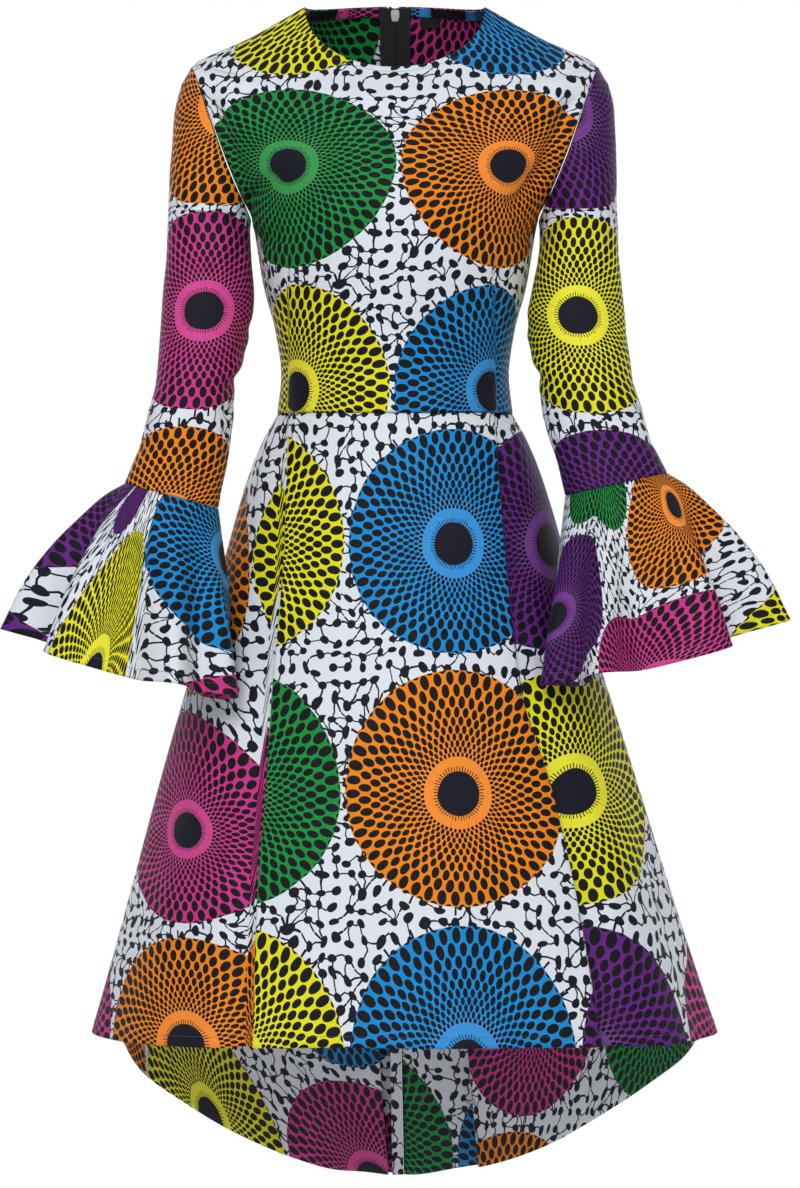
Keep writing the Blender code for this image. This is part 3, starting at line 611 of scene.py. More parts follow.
def ground_marks(tree, u, v):
    """Small ovals strung on thin bent lines: a bent lattice whose cells hold an oval each."""
    gu = u / GROUND_PITCH
    gv = v / (GROUND_PITCH * GROUND_TALL)
    place = join(tree, gu, gv, 0.0)
    other = join(tree, gu + 31.7, gv - 12.9, 5.0)
    gu = gu + (noise(tree, place, 0.42, 1.0) - 0.5) * GROUND_BEND
    gv = gv + (noise(tree, other, 0.42, 1.0) - 0.5) * GROUND_BEND
    cu = gu.floor()
    cv = gv.floor()
    fu = gu - cu
    fv = gv - cv
    pick = white_noise(tree, join(tree, cu, cv, 1.7))
    pick_b = white_noise(tree, join(tree, cu, cv, 6.1))
    px = pick * 0.36 + 0.32
    py = pick_b * 0.36 + 0.32
    lean = (pick + pick_b) * math.pi
    lx = fu - px
    ly = fv - py
    c = lean.cos()
    s = lean.sin()
    ox = (lx * c + ly * s) / OVAL_LONG
    oy = (ly * c - lx * s) / OVAL_WIDE
    marks = (ox * ox + oy * oy).less(1.0)
    for side in (0.0, 1.0):
        # the line through this cell's left or right edge
        edge = cu + side
        here = white_noise(tree, join(tree, edge, cv, 11.3))
        cross = here * 0.5 + 0.25
        shown = (here * 7.31).fract().less(LINK_SHARE)
        marks = marks.most(near_line(fu, fv, px, py, cross * 0.0 + side, cross).less(LINE_NEAR) * shown)
        # the line through its lower or upper edge
        edge = cv + side
        here = white_noise(tree, join(tree, cu, edge, 17.9))
        cross = here * 0.5 + 0.25
        shown = (here * 7.31).fract().less(LINK_SHARE)
        marks = marks.most(near_line(fu, fv, px, py, cross, cross * 0.0 + side).less(LINE_NEAR) * shown)
    for side_u, side_v in ((0.0, 0.0), (1.0, 0.0), (0.0, 1.0), (1.0, 1.0)):
        # a corner joins one of its two pairs of facing cells, or neither
        here = white_noise(tree, join(tree, cu + side_u, cv + side_v, 23.3))
        if side_u == side_v:
            shown = here.less(CORNER_SHARE)
        else:
            shown = here.more(1.0 - CORNER_SHARE)
        end = here * 0.0
        marks = marks.most(near_line(fu, fv, px, py, end + side_u, end + side_v).less(LINE_NEAR) * shown)
    return marks


def print_colours(tree, painted_shade, bolt):
    uv_node = tree.nodes.new("ShaderNodeUVMap")
    uv_node.uv_map = "cloth"
    uv = Wire(tree, uv_node.outputs[0])
    u0, v0 = split(tree, uv)
    bend = noise(tree, uv, 55.0, 1.0)
    bend_b = noise(tree, join(tree, u0 + 7.3, v0 - 2.1), 55.0, 1.0)
    u = u0 + (bend - 0.5) * 0.0022
    v = v0 + (bend_b - 0.5) * 0.0022
    # disc cell
    cu = u / PITCH_U + 0.5
    cv = v / PITCH_V + 0.5
    col = cu.floor()
    row = cv.floor()
    du = (cu - col - 0.5) * PITCH_U
    dv = (cv - row - 0.5) * (PITCH_V / DISC_TALL)
    away = (du * du + dv * dv).sqrt()
    turn = dv.atan2(du) + math.pi
    index = (col.modulo(float(len(bolt))) * 2.0 + row.modulo(2.0) + 0.5) / (2.0 * len(bolt))
    tint = disc_palette(tree, index, bolt)
    # inner parts are brighter, the rim deeper
    rim = away.ramp(0.035, 0.110)
    deep = mix_colour(tree, rim * 0.10, tint, linear((60, 40, 30)))
    glow = (away.ramp(0.034, 0.046) * -1.0) + 1.0
    disc = mix_colour(tree, glow * 0.04, deep, linear((255, 240, 230)))
    # ovals in a log-polar lattice
    ring = (away / RING_RADIUS).most(0.02).ln() / DOT_STEP + 0.38
    near = oval_row(tree, ring, turn, 0.0, DOTS_ROUND).least(oval_row(tree, ring, turn, 1.0, DOTS_ROUND))
    dots = near.less(1.0) * away.more(RING_RADIUS * 1.03)
    disc = mix_colour(tree, dots, disc, linear(DOT_COLOUR))
    # long thin lines across the plain ring
    spoke = turn * (22 / (2 * math.pi))
    spoke_pick = white_noise(tree, join(tree, spoke.floor(), col, row * 3.0 + 0.5))
    spoke_line = ((spoke.fract() - 0.5).abs() * away).less(0.00028) * spoke_pick.more(0.80)
    spoke_line = spoke_line * away.less(RING_RADIUS * 1.05)
    disc = mix_colour(tree, spoke_line, disc, linear(NAVY))
    # short lashes round the pupil
    lash = turn * (52 / (2 * math.pi))
    lash_pick = white_noise(tree, join(tree, lash.floor(), col, row + 11.0))
    lash_end = lash_pick * 0.0016 + (LASH_RADIUS - 0.0008)
    lashes = ((lash.fract() - 0.5).abs()).less(0.165) * (away - lash_end).less(0.0)
    pupil = away.less(PUPIL_RADIUS)
    disc = mix_colour(tree, lashes.most(pupil), disc, linear(NAVY))
    marks = ground_marks(tree, u, v)
    # short lines that leave the disc's outer ovals
    tail = turn * (DOTS_ROUND / (2 * math.pi)) + 0.5
    tail_pick = white_noise(tree, join(tree, tail.floor(), col + 0.3, row - 0.6))
    tails = ((tail.fract() - 0.5).abs()).less(0.075) * tail_pick.more(0.52) * away.less(DISC_RADIUS + 0.0075)
    marks = marks.most(tails)
    ground = mix_colour(tree, marks, linear(WHITE), linear(NAVY))
    inside = away.less(DISC_RADIUS)
    edge_dots = dots * inside
    colour = mix_colour(tree, inside, ground, disc)
    colour = mix_colour(tree, edge_dots, colour, linear(DOT_COLOUR))
    # cloth variation
    cloudy = noise(tree, uv, 14.0, 3.0)
    colour = mix_colour(tree, (cloudy - 0.42).most(0.0) * 0.10, colour, linear((70, 74, 88)))
    # painted shade: on the inside faces the print is mixed towards dark grey, standing in for the shade inside the
    # dress
    if painted_shade > 0.0:
        colour = mix_colour(tree, painted_shade, colour, linear((70, 72, 84)))
    return colour, uv, u0, v0, marks, inside


def weave_height(tree, u, v, pitch):
    """Plain weave: warp and weft take turns on top."""
    a = (u * (2 * math.pi / pitch)).sin()
    b = (v * (2 * math.pi / pitch)).sin()
    return a * b


def print_material(name, painted_shade, bolt):
    made = bpy.data.materials.new(name)
    made.use_nodes = True
    tree = made.node_tree
    shader = tree.nodes["Principled BSDF"]
    colour, uv, u, v, marks, inside = print_colours(tree, painted_shade, bolt)
    slub = noise(tree, join(tree, u * 9.0, v, 0.0), 900.0, 1.0)
    slub_b = noise(tree, join(tree, u, v * 9.0, 3.0), 900.0, 1.0)
    yarn = (slub + slub_b) * 0.5
    colour = mix_colour(tree, (yarn - 0.47).most(0.0) * 0.12, colour, linear((120, 124, 136)))
    tree.links.new(colour.socket, shader.inputs["Base Color"])
    shader.inputs["Roughness"].default_value = 0.66
    shader.inputs["Specular IOR Level"].default_value = 0.20
    shader.inputs["Sheen Weight"].default_value = 0.03
    shader.inputs["Sheen Roughness"].default_value = 0.45
    bump = tree.nodes.new("ShaderNodeBump")
    bump.inputs["Strength"].default_value = 0.30
    bump.inputs["Distance"].default_value = 0.0004
    height = weave_height(tree, u, v, 0.0011) * 0.35 + yarn * 1.2
    tree.links.new(height.socket, bump.inputs["Height"])
    tree.links.new(bump.outputs[0], shader.inputs["Normal"])
    return made


def plain_material(name, rgb, rough, metallic=0.0, grain=0.0, grain_scale=900.0, sheen=0.0, bump_by=0.0):
    made = bpy.data.materials.new(name)
    made.use_nodes = True
    tree = made.node_tree
    shader = tree.nodes["Principled BSDF"]
    place = tree.nodes.new("ShaderNodeTexCoord")
    where = Wire(tree, place.outputs["Object"])
    grainy = noise(tree, where, grain_scale, 3.0)
    lighter = tuple(min(255, c + 40) for c in rgb)
    colour = mix_colour(tree, grainy * grain, linear(rgb), linear(lighter))
    tree.links.new(colour.socket, shader.inputs["Base Color"])
    shader.inputs["Roughness"].default_value = rough
    shader.inputs["Metallic"].default_value = metallic
    shader.inputs["Sheen Weight"].default_value = sheen
    if bump_by > 0.0:
        bump = tree.nodes.new("ShaderNodeBump")
        bump.inputs["Strength"].default_value = bump_by
        bump.inputs["Distance"].default_value = 0.0002
        tree.links.new(grainy.socket, bump.inputs["Height"])
        tree.links.new(bump.outputs[0], shader.inputs["Normal"])
    return made


# Painted shade: how far the inside faces' copies of the print are mixed towards dark grey, standing in for the shade
# inside the dress.
INSIDE_PAINTED_SHADE = 0.16
PRINT = [print_material("wax print", 0.0, BOLT), print_material("wax print inner face painted shade", INSIDE_PAINTED_SHADE, BOLT)]
PRINT_BACK = [
    print_material("wax print back", 0.0, BACK_BOLT),
    print_material("wax print back inner face painted shade", INSIDE_PAINTED_SHADE, BACK_BOLT),
]
PRINT_CUFF = [
    print_material("wax print cuffs", 0.0, CUFF_BOLT),
    print_material("wax print cuffs inside", INSIDE_PAINTED_SHADE, CUFF_BOLT),
]
TAPE = plain_material("zip tape", (16, 16, 20), 0.85, grain=0.5, grain_scale=1400.0, sheen=0.1, bump_by=0.4)
COIL = plain_material("zip coil", (14, 14, 17), 0.45, grain=0.2)
METAL = plain_material("zip metal", (238, 240, 244), 0.34, metallic=0.25, grain=0.25, grain_scale=600.0)
LABEL = plain_material("label weave", (13, 13, 15), 0.8, grain=0.5, grain_scale=2200.0, bump_by=0.4)
THREAD = plain_material("thread", (96, 100, 116), 0.8, grain=0.3)
TAPE_THREAD = plain_material("tape thread", (34, 34, 40), 0.75, grain=0.4)
OVERLOCK = plain_material("overlock thread", (15, 15, 18), 0.8, grain=0.3)


# Meshes


def add_object(name, verts, faces, materials, uvs=None, smooth=True):
    mesh = bpy.data.meshes.new(name)
    mesh.from_pydata(verts, [], faces)
    if uvs is not None:
        layer = mesh.uv_layers.new(name="cloth")
        flat = np.zeros((len(mesh.loops), 2), dtype=np.float32)
        index = np.zeros(len(mesh.loops), dtype=np.int32)
        mesh.loops.foreach_get("vertex_index", index)
        flat[:] = uvs[index]
        layer.data.foreach_set("uv", flat.ravel())
    mesh.polygons.foreach_set("use_smooth", [smooth] * len(mesh.polygons))
    mesh.update()
    item = bpy.data.objects.new(name, mesh)
    for material in materials:
        mesh.materials.append(material)
    bpy.context.scene.collection.objects.link(item)
    return item


def cloth(name, points, uvs, closed=False, flip=False, shell=SHELL, materials=PRINT):
    """A thin shell of cloth from a grid of points on its outer face."""
    rows, count = points.shape[:2]
    spans = count if closed else count - 1
    r = np.arange(rows - 1)[:, None]
    c = np.arange(spans)[None, :]
    if closed:
        seam = np.concatenate([points, points[:, :1]], axis=1)
        grid_uv = uvs
        count += 1
        points = seam
    else:
        grid_uv = uvs
    a = r * count + c
    quads = np.stack([a, a + 1, a + count + 1, a + count], axis=-1).reshape(-1, 4)
    if flip:
        quads = quads[:, ::-1]
    verts = points.reshape(-1, 3)
    flat_uv = grid_uv.reshape(-1, 2).astype(np.float32)
    item = add_object(name, verts.tolist(), quads.tolist(), materials, flat_uv)
    if closed:
        weld_seam(item, rows, count)
    mod = item.modifiers.new("wall", "SOLIDIFY")
    mod.thickness = shell
    mod.offset = -1.0
    mod.use_even_offset = False
    mod.material_offset = len(materials) - 1
    return item


def weld_seam(item, rows, count):
    """Join the last column to the first where a tube closes, and keep each side's cloth numbers."""
    bm = bmesh.new()
    bm.from_mesh(item.data)
    bm.verts.ensure_lookup_table()
    targets = {}
    for r in range(rows):
        targets[bm.verts[r * count + count - 1]] = bm.verts[r * count]
    bmesh.ops.weld_verts(bm, targetmap=targets)
    bm.to_mesh(item.data)
    bm.free()
    item.data.polygons.foreach_set("use_smooth", [True] * len(item.data.polygons))


def set_in(points, normals, amount):
    return points + normals * amount[..., None]


def dense_ends(count, close=0.55):
    share = np.linspace(0.0, 1.0, count + 1)
    return share - close * np.sin(2 * math.pi * share) / (2 * math.pi)


def body_level_list(low, arm, shoulder):
    first = np.linspace(0.0, ARMPIT_LEVEL, low + 1)[:-1]
    turn = np.linspace(0.0, math.pi, arm + 1)[:-1]
    middle = ARMPIT_LEVEL + (SHOULDER_LEVEL - ARMPIT_LEVEL) * (1 - np.cos(turn)) / 2
    top = np.linspace(SHOULDER_LEVEL, NECK_LEVEL, shoulder + 1)
    levels = np.concatenate([first, middle, top])
    levels[0] = SEAM_GAP / 2 / 0.040
    return levels


LOW_ROWS = 44
ARM_ROWS = 40
SHOULDER_ROWS = 24
BODICE_COLUMNS = 120

DART_COLUMNS = ("level", "at_left", "at_right", "taken")
DART_ROWS = (
    (0.0, -0.1075, 0.1010, 0.038),
    (2.0, -0.1050, 0.0980, 0.022),
    (3.0, -0.1045, 0.0950, 0.008),
    (3.4, -0.1040, 0.0930, 0.000),
)
DART = Table(DART_COLUMNS, DART_ROWS)
PRINT_SCALE_COLUMNS = ("level", "scale", "shift")
PRINT_SCALE_ROWS = (
    (0.0, 0.99, 0.0030),
    (2.0, 0.96, 0.0020),
    (4.0, 0.955, -0.0030),
    (9.4, 0.965, -0.0050),
    (11.0, 0.970, -0.0070),
)
# How far down the bolt the print on the front lies at each height.
BODICE_DROP_COLUMNS = ("z", "down")
BODICE_DROP_ROWS = (
    (-0.4140, 0.5080),
    (-0.3879, 0.4800),
    (-0.2856, 0.3682),
    (-0.2698, 0.3518),
    (-0.1723, 0.2400),
    (-0.0970, 0.1282),
    (-0.0799, 0.1118),
    (-0.0170, 0.0500),
    (0.0120, 0.0400),
)
BODICE_DROP = Table(BODICE_DROP_COLUMNS, BODICE_DROP_ROWS)
PRINT_SCALE = Table(PRINT_SCALE_COLUMNS, PRINT_SCALE_ROWS)


def bodice_panel(name, face, first_x, side):
    levels = body_level_list(LOW_ROWS, ARM_ROWS, SHOULDER_ROWS)[:, None]
    edge = edge_angle(levels, face)
    reach = BODY.get("half", levels) / np.sin(edge)
    pull = np.where(armhole_depth(levels) > 0.0, reach, BODY.get(face, levels))
    last = edge - SEAM_GAP / 2 / pull
    if side is None:
        share = dense_ends(BODICE_COLUMNS)[None, :]
        angle = -last + 2 * last * share
    else:
        share = dense_ends(BODICE_COLUMNS // 2)[None, :]
        first = np.arcsin(first_x / reach)
        angle = (first + (last - first) * share) * SIGN[side]
    points = body_points(angle, levels, face)
    flipped = (face == "front") == (side != "right")
    normals = grid_normals(points)
    outward = 1.0 if np.sum(normals[..., 1] * (-1.0 if face == "front" else 1.0)) > 0 else -1.0
    normals = normals * outward
    x = points[..., 0]
    z = points[..., 2]
    # cloth numbers before the creases, so that the print rides over them
    arc = np.zeros_like(x)
    lengths = row_lengths(points)
    if side is None:
        middle = lengths[:, BODICE_COLUMNS // 2][:, None]
        arc = lengths - middle
    else:
        arc = (lengths + first_x) * SIGN[side]
    step = np.linalg.norm(np.diff(points, axis=0), axis=-1)
    down = np.concatenate([np.zeros((1, points.shape[1])), np.cumsum(step, axis=0)], axis=0)
    down = down[LOW_ROWS:LOW_ROWS + 1, :] - down
    if face == "front":
        down = BODICE_DROP.get("down", z)
    u = arc * PRINT_SCALE.get("scale", levels) + PRINT_SCALE.get("shift", levels)
    if face == "front":
        taken = DART.get("taken", levels)
        beyond_right = (x > DART.get("at_right", levels)).astype(float)
        beyond_left = (x < DART.get("at_left", levels)).astype(float)
        u = u + taken * (beyond_right - beyond_left)
    rows = FRONT_CREASES if face == "front" else BACK_CREASES
    depth = crease_depth(x, z, rows)
    if face == "front":
        for key in ("at_left", "at_right"):
            seam = np.exp(-(((x - DART.get(key, levels)) / 0.0016) ** 2)) * np.clip((3.5 - levels) * 2.0, 0.0, 1.0)
            depth = depth + seam * 0.0009
    depth = depth + 0.0010 * smooth_noise(x, z, 5 if face == "front" else 9, 0.075)
    fade = edge_fade(points, levels, side)
    points = points - normals * (depth * fade)[..., None]
    seam_dip = 0.0007 * (1.0 - fade_near(points.shape, share, lengths, side, levels))
    points = points - normals * seam_dip[..., None]
    return points, u, down, flipped


def edge_fade(points, levels, side):
    """Creases die out close to seams so that neighbouring pieces stay together."""
    lengths = row_lengths(points)
    total = lengths[:, -1:]
    near_last = np.clip((total - lengths) / 0.014, 0.0, 1.0)
    near_first = np.clip(lengths / 0.014, 0.0, 1.0)
    down = column_lengths(points)
    near_low = np.clip(down / 0.016, 0.0, 1.0)
    near_top = np.clip((down[-1:] - down) / 0.016, 0.0, 1.0)
    fade = near_last * near_first * near_low * near_top
    return fade * fade * (3 - 2 * fade)


def fade_near(shape, share, lengths, side, levels):
    """1 away from sewn edges, 0 on them, over two millimetres."""
    total = lengths[:, -1:]
    out = np.clip((total - lengths) / 0.0022, 0.0, 1.0)
    if side is None:
        out = np.minimum(out, np.clip(lengths / 0.0022, 0.0, 1.0))
    out = np.minimum(out, np.clip(levels * 0.040 / 0.0022, 0.0, 1.0))
    return np.broadcast_to(out, shape[:2])


# Lines on the cloth that stitches follow, as rows of points with their normals.
RAILS = {}


def keep_rail(name, points, distance, closed=False):
    """The line on the cloth at a distance from its last row."""
    up = np.linalg.norm(np.diff(points[::-1], axis=0), axis=-1)
    up = np.concatenate([np.zeros((1, points.shape[1])), np.cumsum(up, axis=0)], axis=0)
    normals = grid_normals(points, closed)[::-1]
    turned = points[::-1]
    line = []
    sides = []
    for c in range(points.shape[1]):
        row = int(np.clip(np.searchsorted(up[:, c], distance), 1, len(up) - 1))
        share = (distance - up[row - 1, c]) / (up[row, c] - up[row - 1, c])
        line.append(turned[row - 1, c] * (1 - share) + turned[row, c] * share)
        sides.append(normals[row - 1, c] * (1 - share) + normals[row, c] * share)
    if closed:
        line.append(line[0])
        sides.append(sides[0])
    RAILS[name] = (np.array(line), np.array(sides))


def build_bodice():
    made = []
    points, u, v, flipped = bodice_panel("bodice_front", "front", 0.0, None)
    keep_rail("neck_front", points, NECK_STITCH)
    # between the yellow and green column on the left and the blue and orange one on the right
    u = u - PITCH_U / 2
    item = cloth("cloth_bodice_front", points, np.stack([u, v], axis=-1), flip=not flipped)
    made.append((item, "bodice_front"))
    for side in ("left", "right"):
        points, u, v, flipped = bodice_panel("bodice_back", "back", ZIP_HALF_OPENING, side)
        u = u + BODICE_BACK_PRINT[side][0]
        v = PITCH_V + BODICE_BACK_PRINT[side][1] - points[..., 2]
        keep_rail("neck_back_" + side, points, NECK_STITCH)
        item = cloth("cloth_bodice_back_" + side, points, np.stack([u, v], axis=-1), flip=flipped)
        made.append((item, "bodice_back_" + side))
    return made


# Where the centre back lies across the bolt, and the height of a disc's centre, for each half.
BODICE_BACK_PRINT = {
    "left": (3 * PITCH_U - 0.062, 0.057),
    "right": (4 * PITCH_U + 0.122, 0.011),
}


def armhole_loop(turn, side):
    f = (1.0 + np.cos(turn)) / 2.0
    level = ARMPIT_LEVEL + (SHOULDER_LEVEL - ARMPIT_LEVEL) * f
    front = body_points(SIGN[side] * edge_angle(level, "front"), level, "front")
    back = body_points(SIGN[side] * edge_angle(level, "back"), level, "back")
    return np.where((np.sin(turn) > 0.0)[..., None], front, back)


def sleeve_ring(turn, station, side):
    table = SLEEVES[side]
    at = np.maximum(station, 1.0)
    ox = table.get("out_x", at)
    oz = table.get("out_z", at)
    ix = table.get("in_x", at)
    iz = table.get("in_z", at)
    c = np.cos(turn)
    s = np.sin(turn)
    x = SIGN[side] * ((ox + ix) / 2 + (ox - ix) / 2 * c)
    z = (oz + iz) / 2 + (oz - iz) / 2 * c
    y = -table.get("forward", at) - table.get("deep", at) * s
    return np.stack(np.broadcast_arrays(x, y, z), axis=-1)


# Sleeve creases: turn 0 is the outer edge, 90 the front, 180 the inner edge, 270 the back.
SLEEVE_CREASES = (
    ("turn", 150, "station", 5.6, 40, 0.20, 0.0040),
    ("turn", 165, "station", 6.1, 50, 0.18, 0.0044),
    ("turn", 150, "station", 6.6, 46, 0.20, 0.0036),
    ("turn", 120, "station", 7.2, 44, 0.22, 0.0028),
    ("turn", 40, "station", 7.7, 40, 0.24, 0.0022),
    ("turn", 170, "station", 5.0, 45, 0.24, 0.0026),
    ("turn", 60, "station", 2.4, 34, 0.40, 0.0022),
    ("turn", 120, "station", 2.2, 30, 0.36, 0.0030),
    ("turn", 210, "station", 6.0, 55, 0.30, 0.0034),
    ("turn", 240, "station", 5.4, 50, 0.30, 0.0026),
    ("turn", 250, "station", 2.6, 40, 0.40, 0.0026),
    ("turn", 20, "station", 6.3, 36, 0.28, 0.0018),
)


def build_sleeves():
    made = []
    columns = 128
    for side in ("left", "right"):
        turn = np.linspace(0.0, 2 * math.pi, columns, endpoint=False)[None, :]
        at_cap = np.linspace(0.0, 1.0, 11)[:-1]
        station = np.concatenate([at_cap, np.linspace(1.0, SLEEVE_LAST, 130)])[:, None]
        ring = sleeve_ring(turn, station, side)
        apart = np.array([SIGN[side] * ARMHOLE_GAP, 0.0, -ARMHOLE_GAP * ARMHOLE_LEAN])
        loop = armhole_loop(turn, side) + apart
        ease = np.clip(station, 0.0, 1.0)[..., None]
        points = loop * (1 - ease) + ring * ease
        points = np.where((station < 1.0)[..., None], points, ring)
        normals = grid_normals(points, closed=True)
        centre = points.mean(axis=1, keepdims=True)
        outward = 1.0 if np.sum(normals * (points - centre)) > 0 else -1.0
        normals = normals * outward
        closed_points = np.concatenate([points, points[:, :1]], axis=1)
        # the print hangs straight down, whichever way the rings of the mesh lean
        lengths = row_lengths(closed_points[..., :2])
        front = columns // 4
        u = (lengths - lengths[:, front:front + 1]) * (-SIGN[side])
        down = column_lengths(closed_points)[:, front:front + 1]
        down = down + closed_points[:, front:front + 1, 2] - closed_points[..., 2]
        degrees = np.degrees(turn)
        depth = np.zeros(points.shape[:2])
        for _, at_turn, _, at_station, wide, tall, deep in SLEEVE_CREASES:
            swing = (degrees - at_turn + 180.0) % 360.0 - 180.0
            tilt = 0.004 * swing
            depth += deep * np.exp(-((swing / wide) ** 2)) * np.exp(-(((station + tilt - at_station) / tall) ** 2))
        depth += 0.0011 * smooth_noise(
                points[..., 1] + points[..., 0], points[..., 2], 21 if side == "left" else 22, 0.06
            )
        fade = np.clip(column_lengths(points) / 0.015, 0, 1) * np.clip((SLEEVE_LAST - station) / 0.35, 0, 1)
        points = points - normals * (depth * fade)[..., None]
        dip = 0.0008 * (1 - np.clip(column_lengths(points) / 0.0024, 0, 1))
        dip = dip + 0.0008 * (1 - np.clip((SLEEVE_LAST - station) / 0.06, 0, 1))
        points = points - normals * dip[..., None]
        column, pupil, cap_shift = SLEEVE_PRINT[side]
        u = u + column * PITCH_U + cap_shift * np.clip((SLEEVE_CAP_END - down) / SLEEVE_CAP_END, 0.0, 1.0)
        v = PITCH_V + np.interp(down - pupil, SLEEVE_RISE[0], SLEEVE_RISE[1])
        uvs = np.stack([u, v], axis=-1)
        item = cloth("cloth_sleeve_" + side, points, uvs, closed=True, flip=side == "right")
        made.append((item, "sleeve_" + side))
    return made


# Disc column, how far down the sleeve the middle disc's pupil lies, and a shift at the cap.
SLEEVE_PRINT = {"right": (-2.0, 0.182, -0.016), "left": (1.0, 0.187, 0.014)}
SLEEVE_CAP_END = 0.090
# Distance down the cloth from that pupil, and the same distance on the bolt.
SLEEVE_RISE = (
    (-0.302, -0.201, -0.108, -0.0975, 0.0, 0.104, 0.122, 0.300),
    (-0.352, -0.240, -0.1315, -0.1085, 0.0, 0.1118, 0.1282, 0.320),
)


def skirt_reach(x, y, z):
    drop = np.maximum(WAIST_Z - z, 0.0)
    half = SKIRT.get("half", drop) + SKIRT_CLEARANCE
    depth = np.where(y < 0.0, SKIRT.get("front", drop), SKIRT.get("back", drop)) + SKIRT_CLEARANCE
    drift = HEM_DRIFT * (drop / (WAIST_Z - HEM_SIDE_Z)) ** 2
    return np.hypot((x - drift) / half, y / depth)


def flounce_points(turn, way, side):
    sign = SIGN[side]
    base = sleeve_ring(turn, np.full_like(turn, SLEEVE_LAST), side)
    c = np.cos(turn)
    s = np.sin(turn)
    sideways = np.where(c > 0.0, FLOUNCE.get("out", way), FLOUNCE.get("inward", way))
    sideways_down = np.where(c > 0.0, FLOUNCE.get("down_out", way), FLOUNCE.get("down_in", way))
    along = np.where(s > 0.0, FLOUNCE.get("front", way), FLOUNCE.get("back", way))
    along_down = np.where(s > 0.0, FLOUNCE.get("down_front", way), FLOUNCE.get("down_back", way))
    phase = 0.6 if side == "right" else -0.4
    ripple = np.sin(FLOUNCE_WAVES * turn + phase + 0.5 * np.sin(2 * turn))
    pull = np.where(c > 0.0, 1.0, 1.0 - 0.62 * c * c)
    reach = FLOUNCE.get("wave", way) * ripple * pull
    table = SLEEVES[side]
    middle_x = sign * float(table.get("out_x", SLEEVE_LAST) + table.get("in_x", SLEEVE_LAST)) / 2
    middle_y = -float(table.get("forward", SLEEVE_LAST))
    x = base[..., 0] + sign * sideways * c
    y = base[..., 1] - along * s
    x = middle_x + (x - middle_x) * (1.0 + reach)
    y = middle_y + (y - middle_y) * (1.0 + reach)
    z = base[..., 2] - (sideways_down * c * c + along_down * s * s) - SEAM_GAP * 0.9
    z = z + 0.030 * reach * (0.3 + 0.7 * np.maximum(c, 0.0))
    free = np.full_like(x, np.inf)
    for k in range(80, 0, -1):
        share = k / 40.0
        inside = skirt_reach(middle_x + (x - middle_x) * share, middle_y + (y - middle_y) * share, z) <= 1.0
        free = np.where(inside, share, free)
    factor = 1.0 / (1.0 + (1.0 / free) ** PRESS_POWER) ** (1.0 / PRESS_POWER)
    x = middle_x + (x - middle_x) * factor
    y = middle_y + (y - middle_y) * factor
    return np.stack([x, y, z], axis=-1)


# Each ring is joined at the inner side towards the back, where it starts, in degrees.
CUFF_JOIN = -165.0
CUFF_COLUMN = {"right": 2.0, "left": 4.0}
# Round the cuff in degrees from the outer side over the front: how far across the bolt it lies.
CUFF_ACROSS = {
    "right": (
        (-165, 0, 15, 30, 45, 48, 60, 72, 75, 90, 105, 120, 135, 150, 165, 180, 195),
        (-0.835, -0.385, -0.364, -0.343, -0.3225, -0.318, -0.2135, -0.109, -0.1045, -0.082,
         -0.064, -0.052, -0.036, -0.024, -0.016, -0.004, 0.015),
    ),
    "left": (
        (-200, -30, 3, 5, 48, 84, 86, 135, 171, 195),
        (0.64, 0.2135, 0.109, 0.1045, 0.0, -0.1045, -0.109, -0.2135, -0.318, -0.37),
    ),
}
# The columns of the print lean by this many degrees down the cuff's length.
CUFF_LEAN = {
    "right": ((-165, 195), (0.0, 0.0)),
    "left": ((-165, 195), (32.5, 32.5)),
}
CUFF_LEAN_START = 0.2
# Share of the way down at which a row of discs lies, and metres of print down the cuff.
CUFF_LEVEL = {
    "right": ((-165, 30, 45, 48, 60, 72, 75, 195), (1.42, 1.42, 1.30, 1.24, 1.12, 0.50, 0.26, 0.26)),
    "left": ((-165, -20, 30, 84, 115, 195), (0.28, 0.28, 0.20, 0.20, -0.25, -0.25)),
}
CUFF_RATE = {
    "right": ((-165, 44, 60, 75, 195), (0.188, 0.188, 0.145, 0.210, 0.210)),
    "left": ((-165, 195), (0.266, 0.266)),
}
# The print turns smoothly over this many degrees where a fold takes it in.
CUFF_SOFTEN = (-4.0, -2.0, 0.0, 2.0, 4.0)


def softened(table, degrees):
    return sum(np.interp(degrees + shift, *table) for shift in CUFF_SOFTEN) / len(CUFF_SOFTEN)


def cuff_print(turn, way, side):
    degrees = np.degrees(turn)
    lean = np.interp(degrees, *CUFF_LEAN[side]) * (way - CUFF_LEAN_START)
    u = CUFF_COLUMN[side] * PITCH_U + softened(CUFF_ACROSS[side], degrees - lean)
    v = (way - softened(CUFF_LEVEL[side], degrees)) * softened(CUFF_RATE[side], degrees)
    return np.stack([u, v], axis=-1)


def build_flounces():
    made = []
    columns = 288
    for side in ("left", "right"):
        start = math.radians(CUFF_JOIN)
        turn = start + np.linspace(0.0, 2 * math.pi, columns, endpoint=False)[None, :] + np.zeros((49, 1))
        way = np.linspace(0.0, 1.0, 49)[:, None] + np.zeros((1, columns))
        points = flounce_points(turn, way, side)
        keep_rail("cuff_" + side, points, HEM_STITCH, True)
        closed_turn = np.concatenate([turn, turn[:, :1] + 2 * math.pi], axis=1)
        closed_way = np.concatenate([way, way[:, :1]], axis=1)
        uvs = cuff_print(closed_turn, closed_way, side)
        flipped = side == "right"
        item = cloth("cloth_flounce_" + side, points, uvs, closed=True, flip=flipped, materials=PRINT_CUFF)
        made.append((item, "flounce_" + side))
    return made


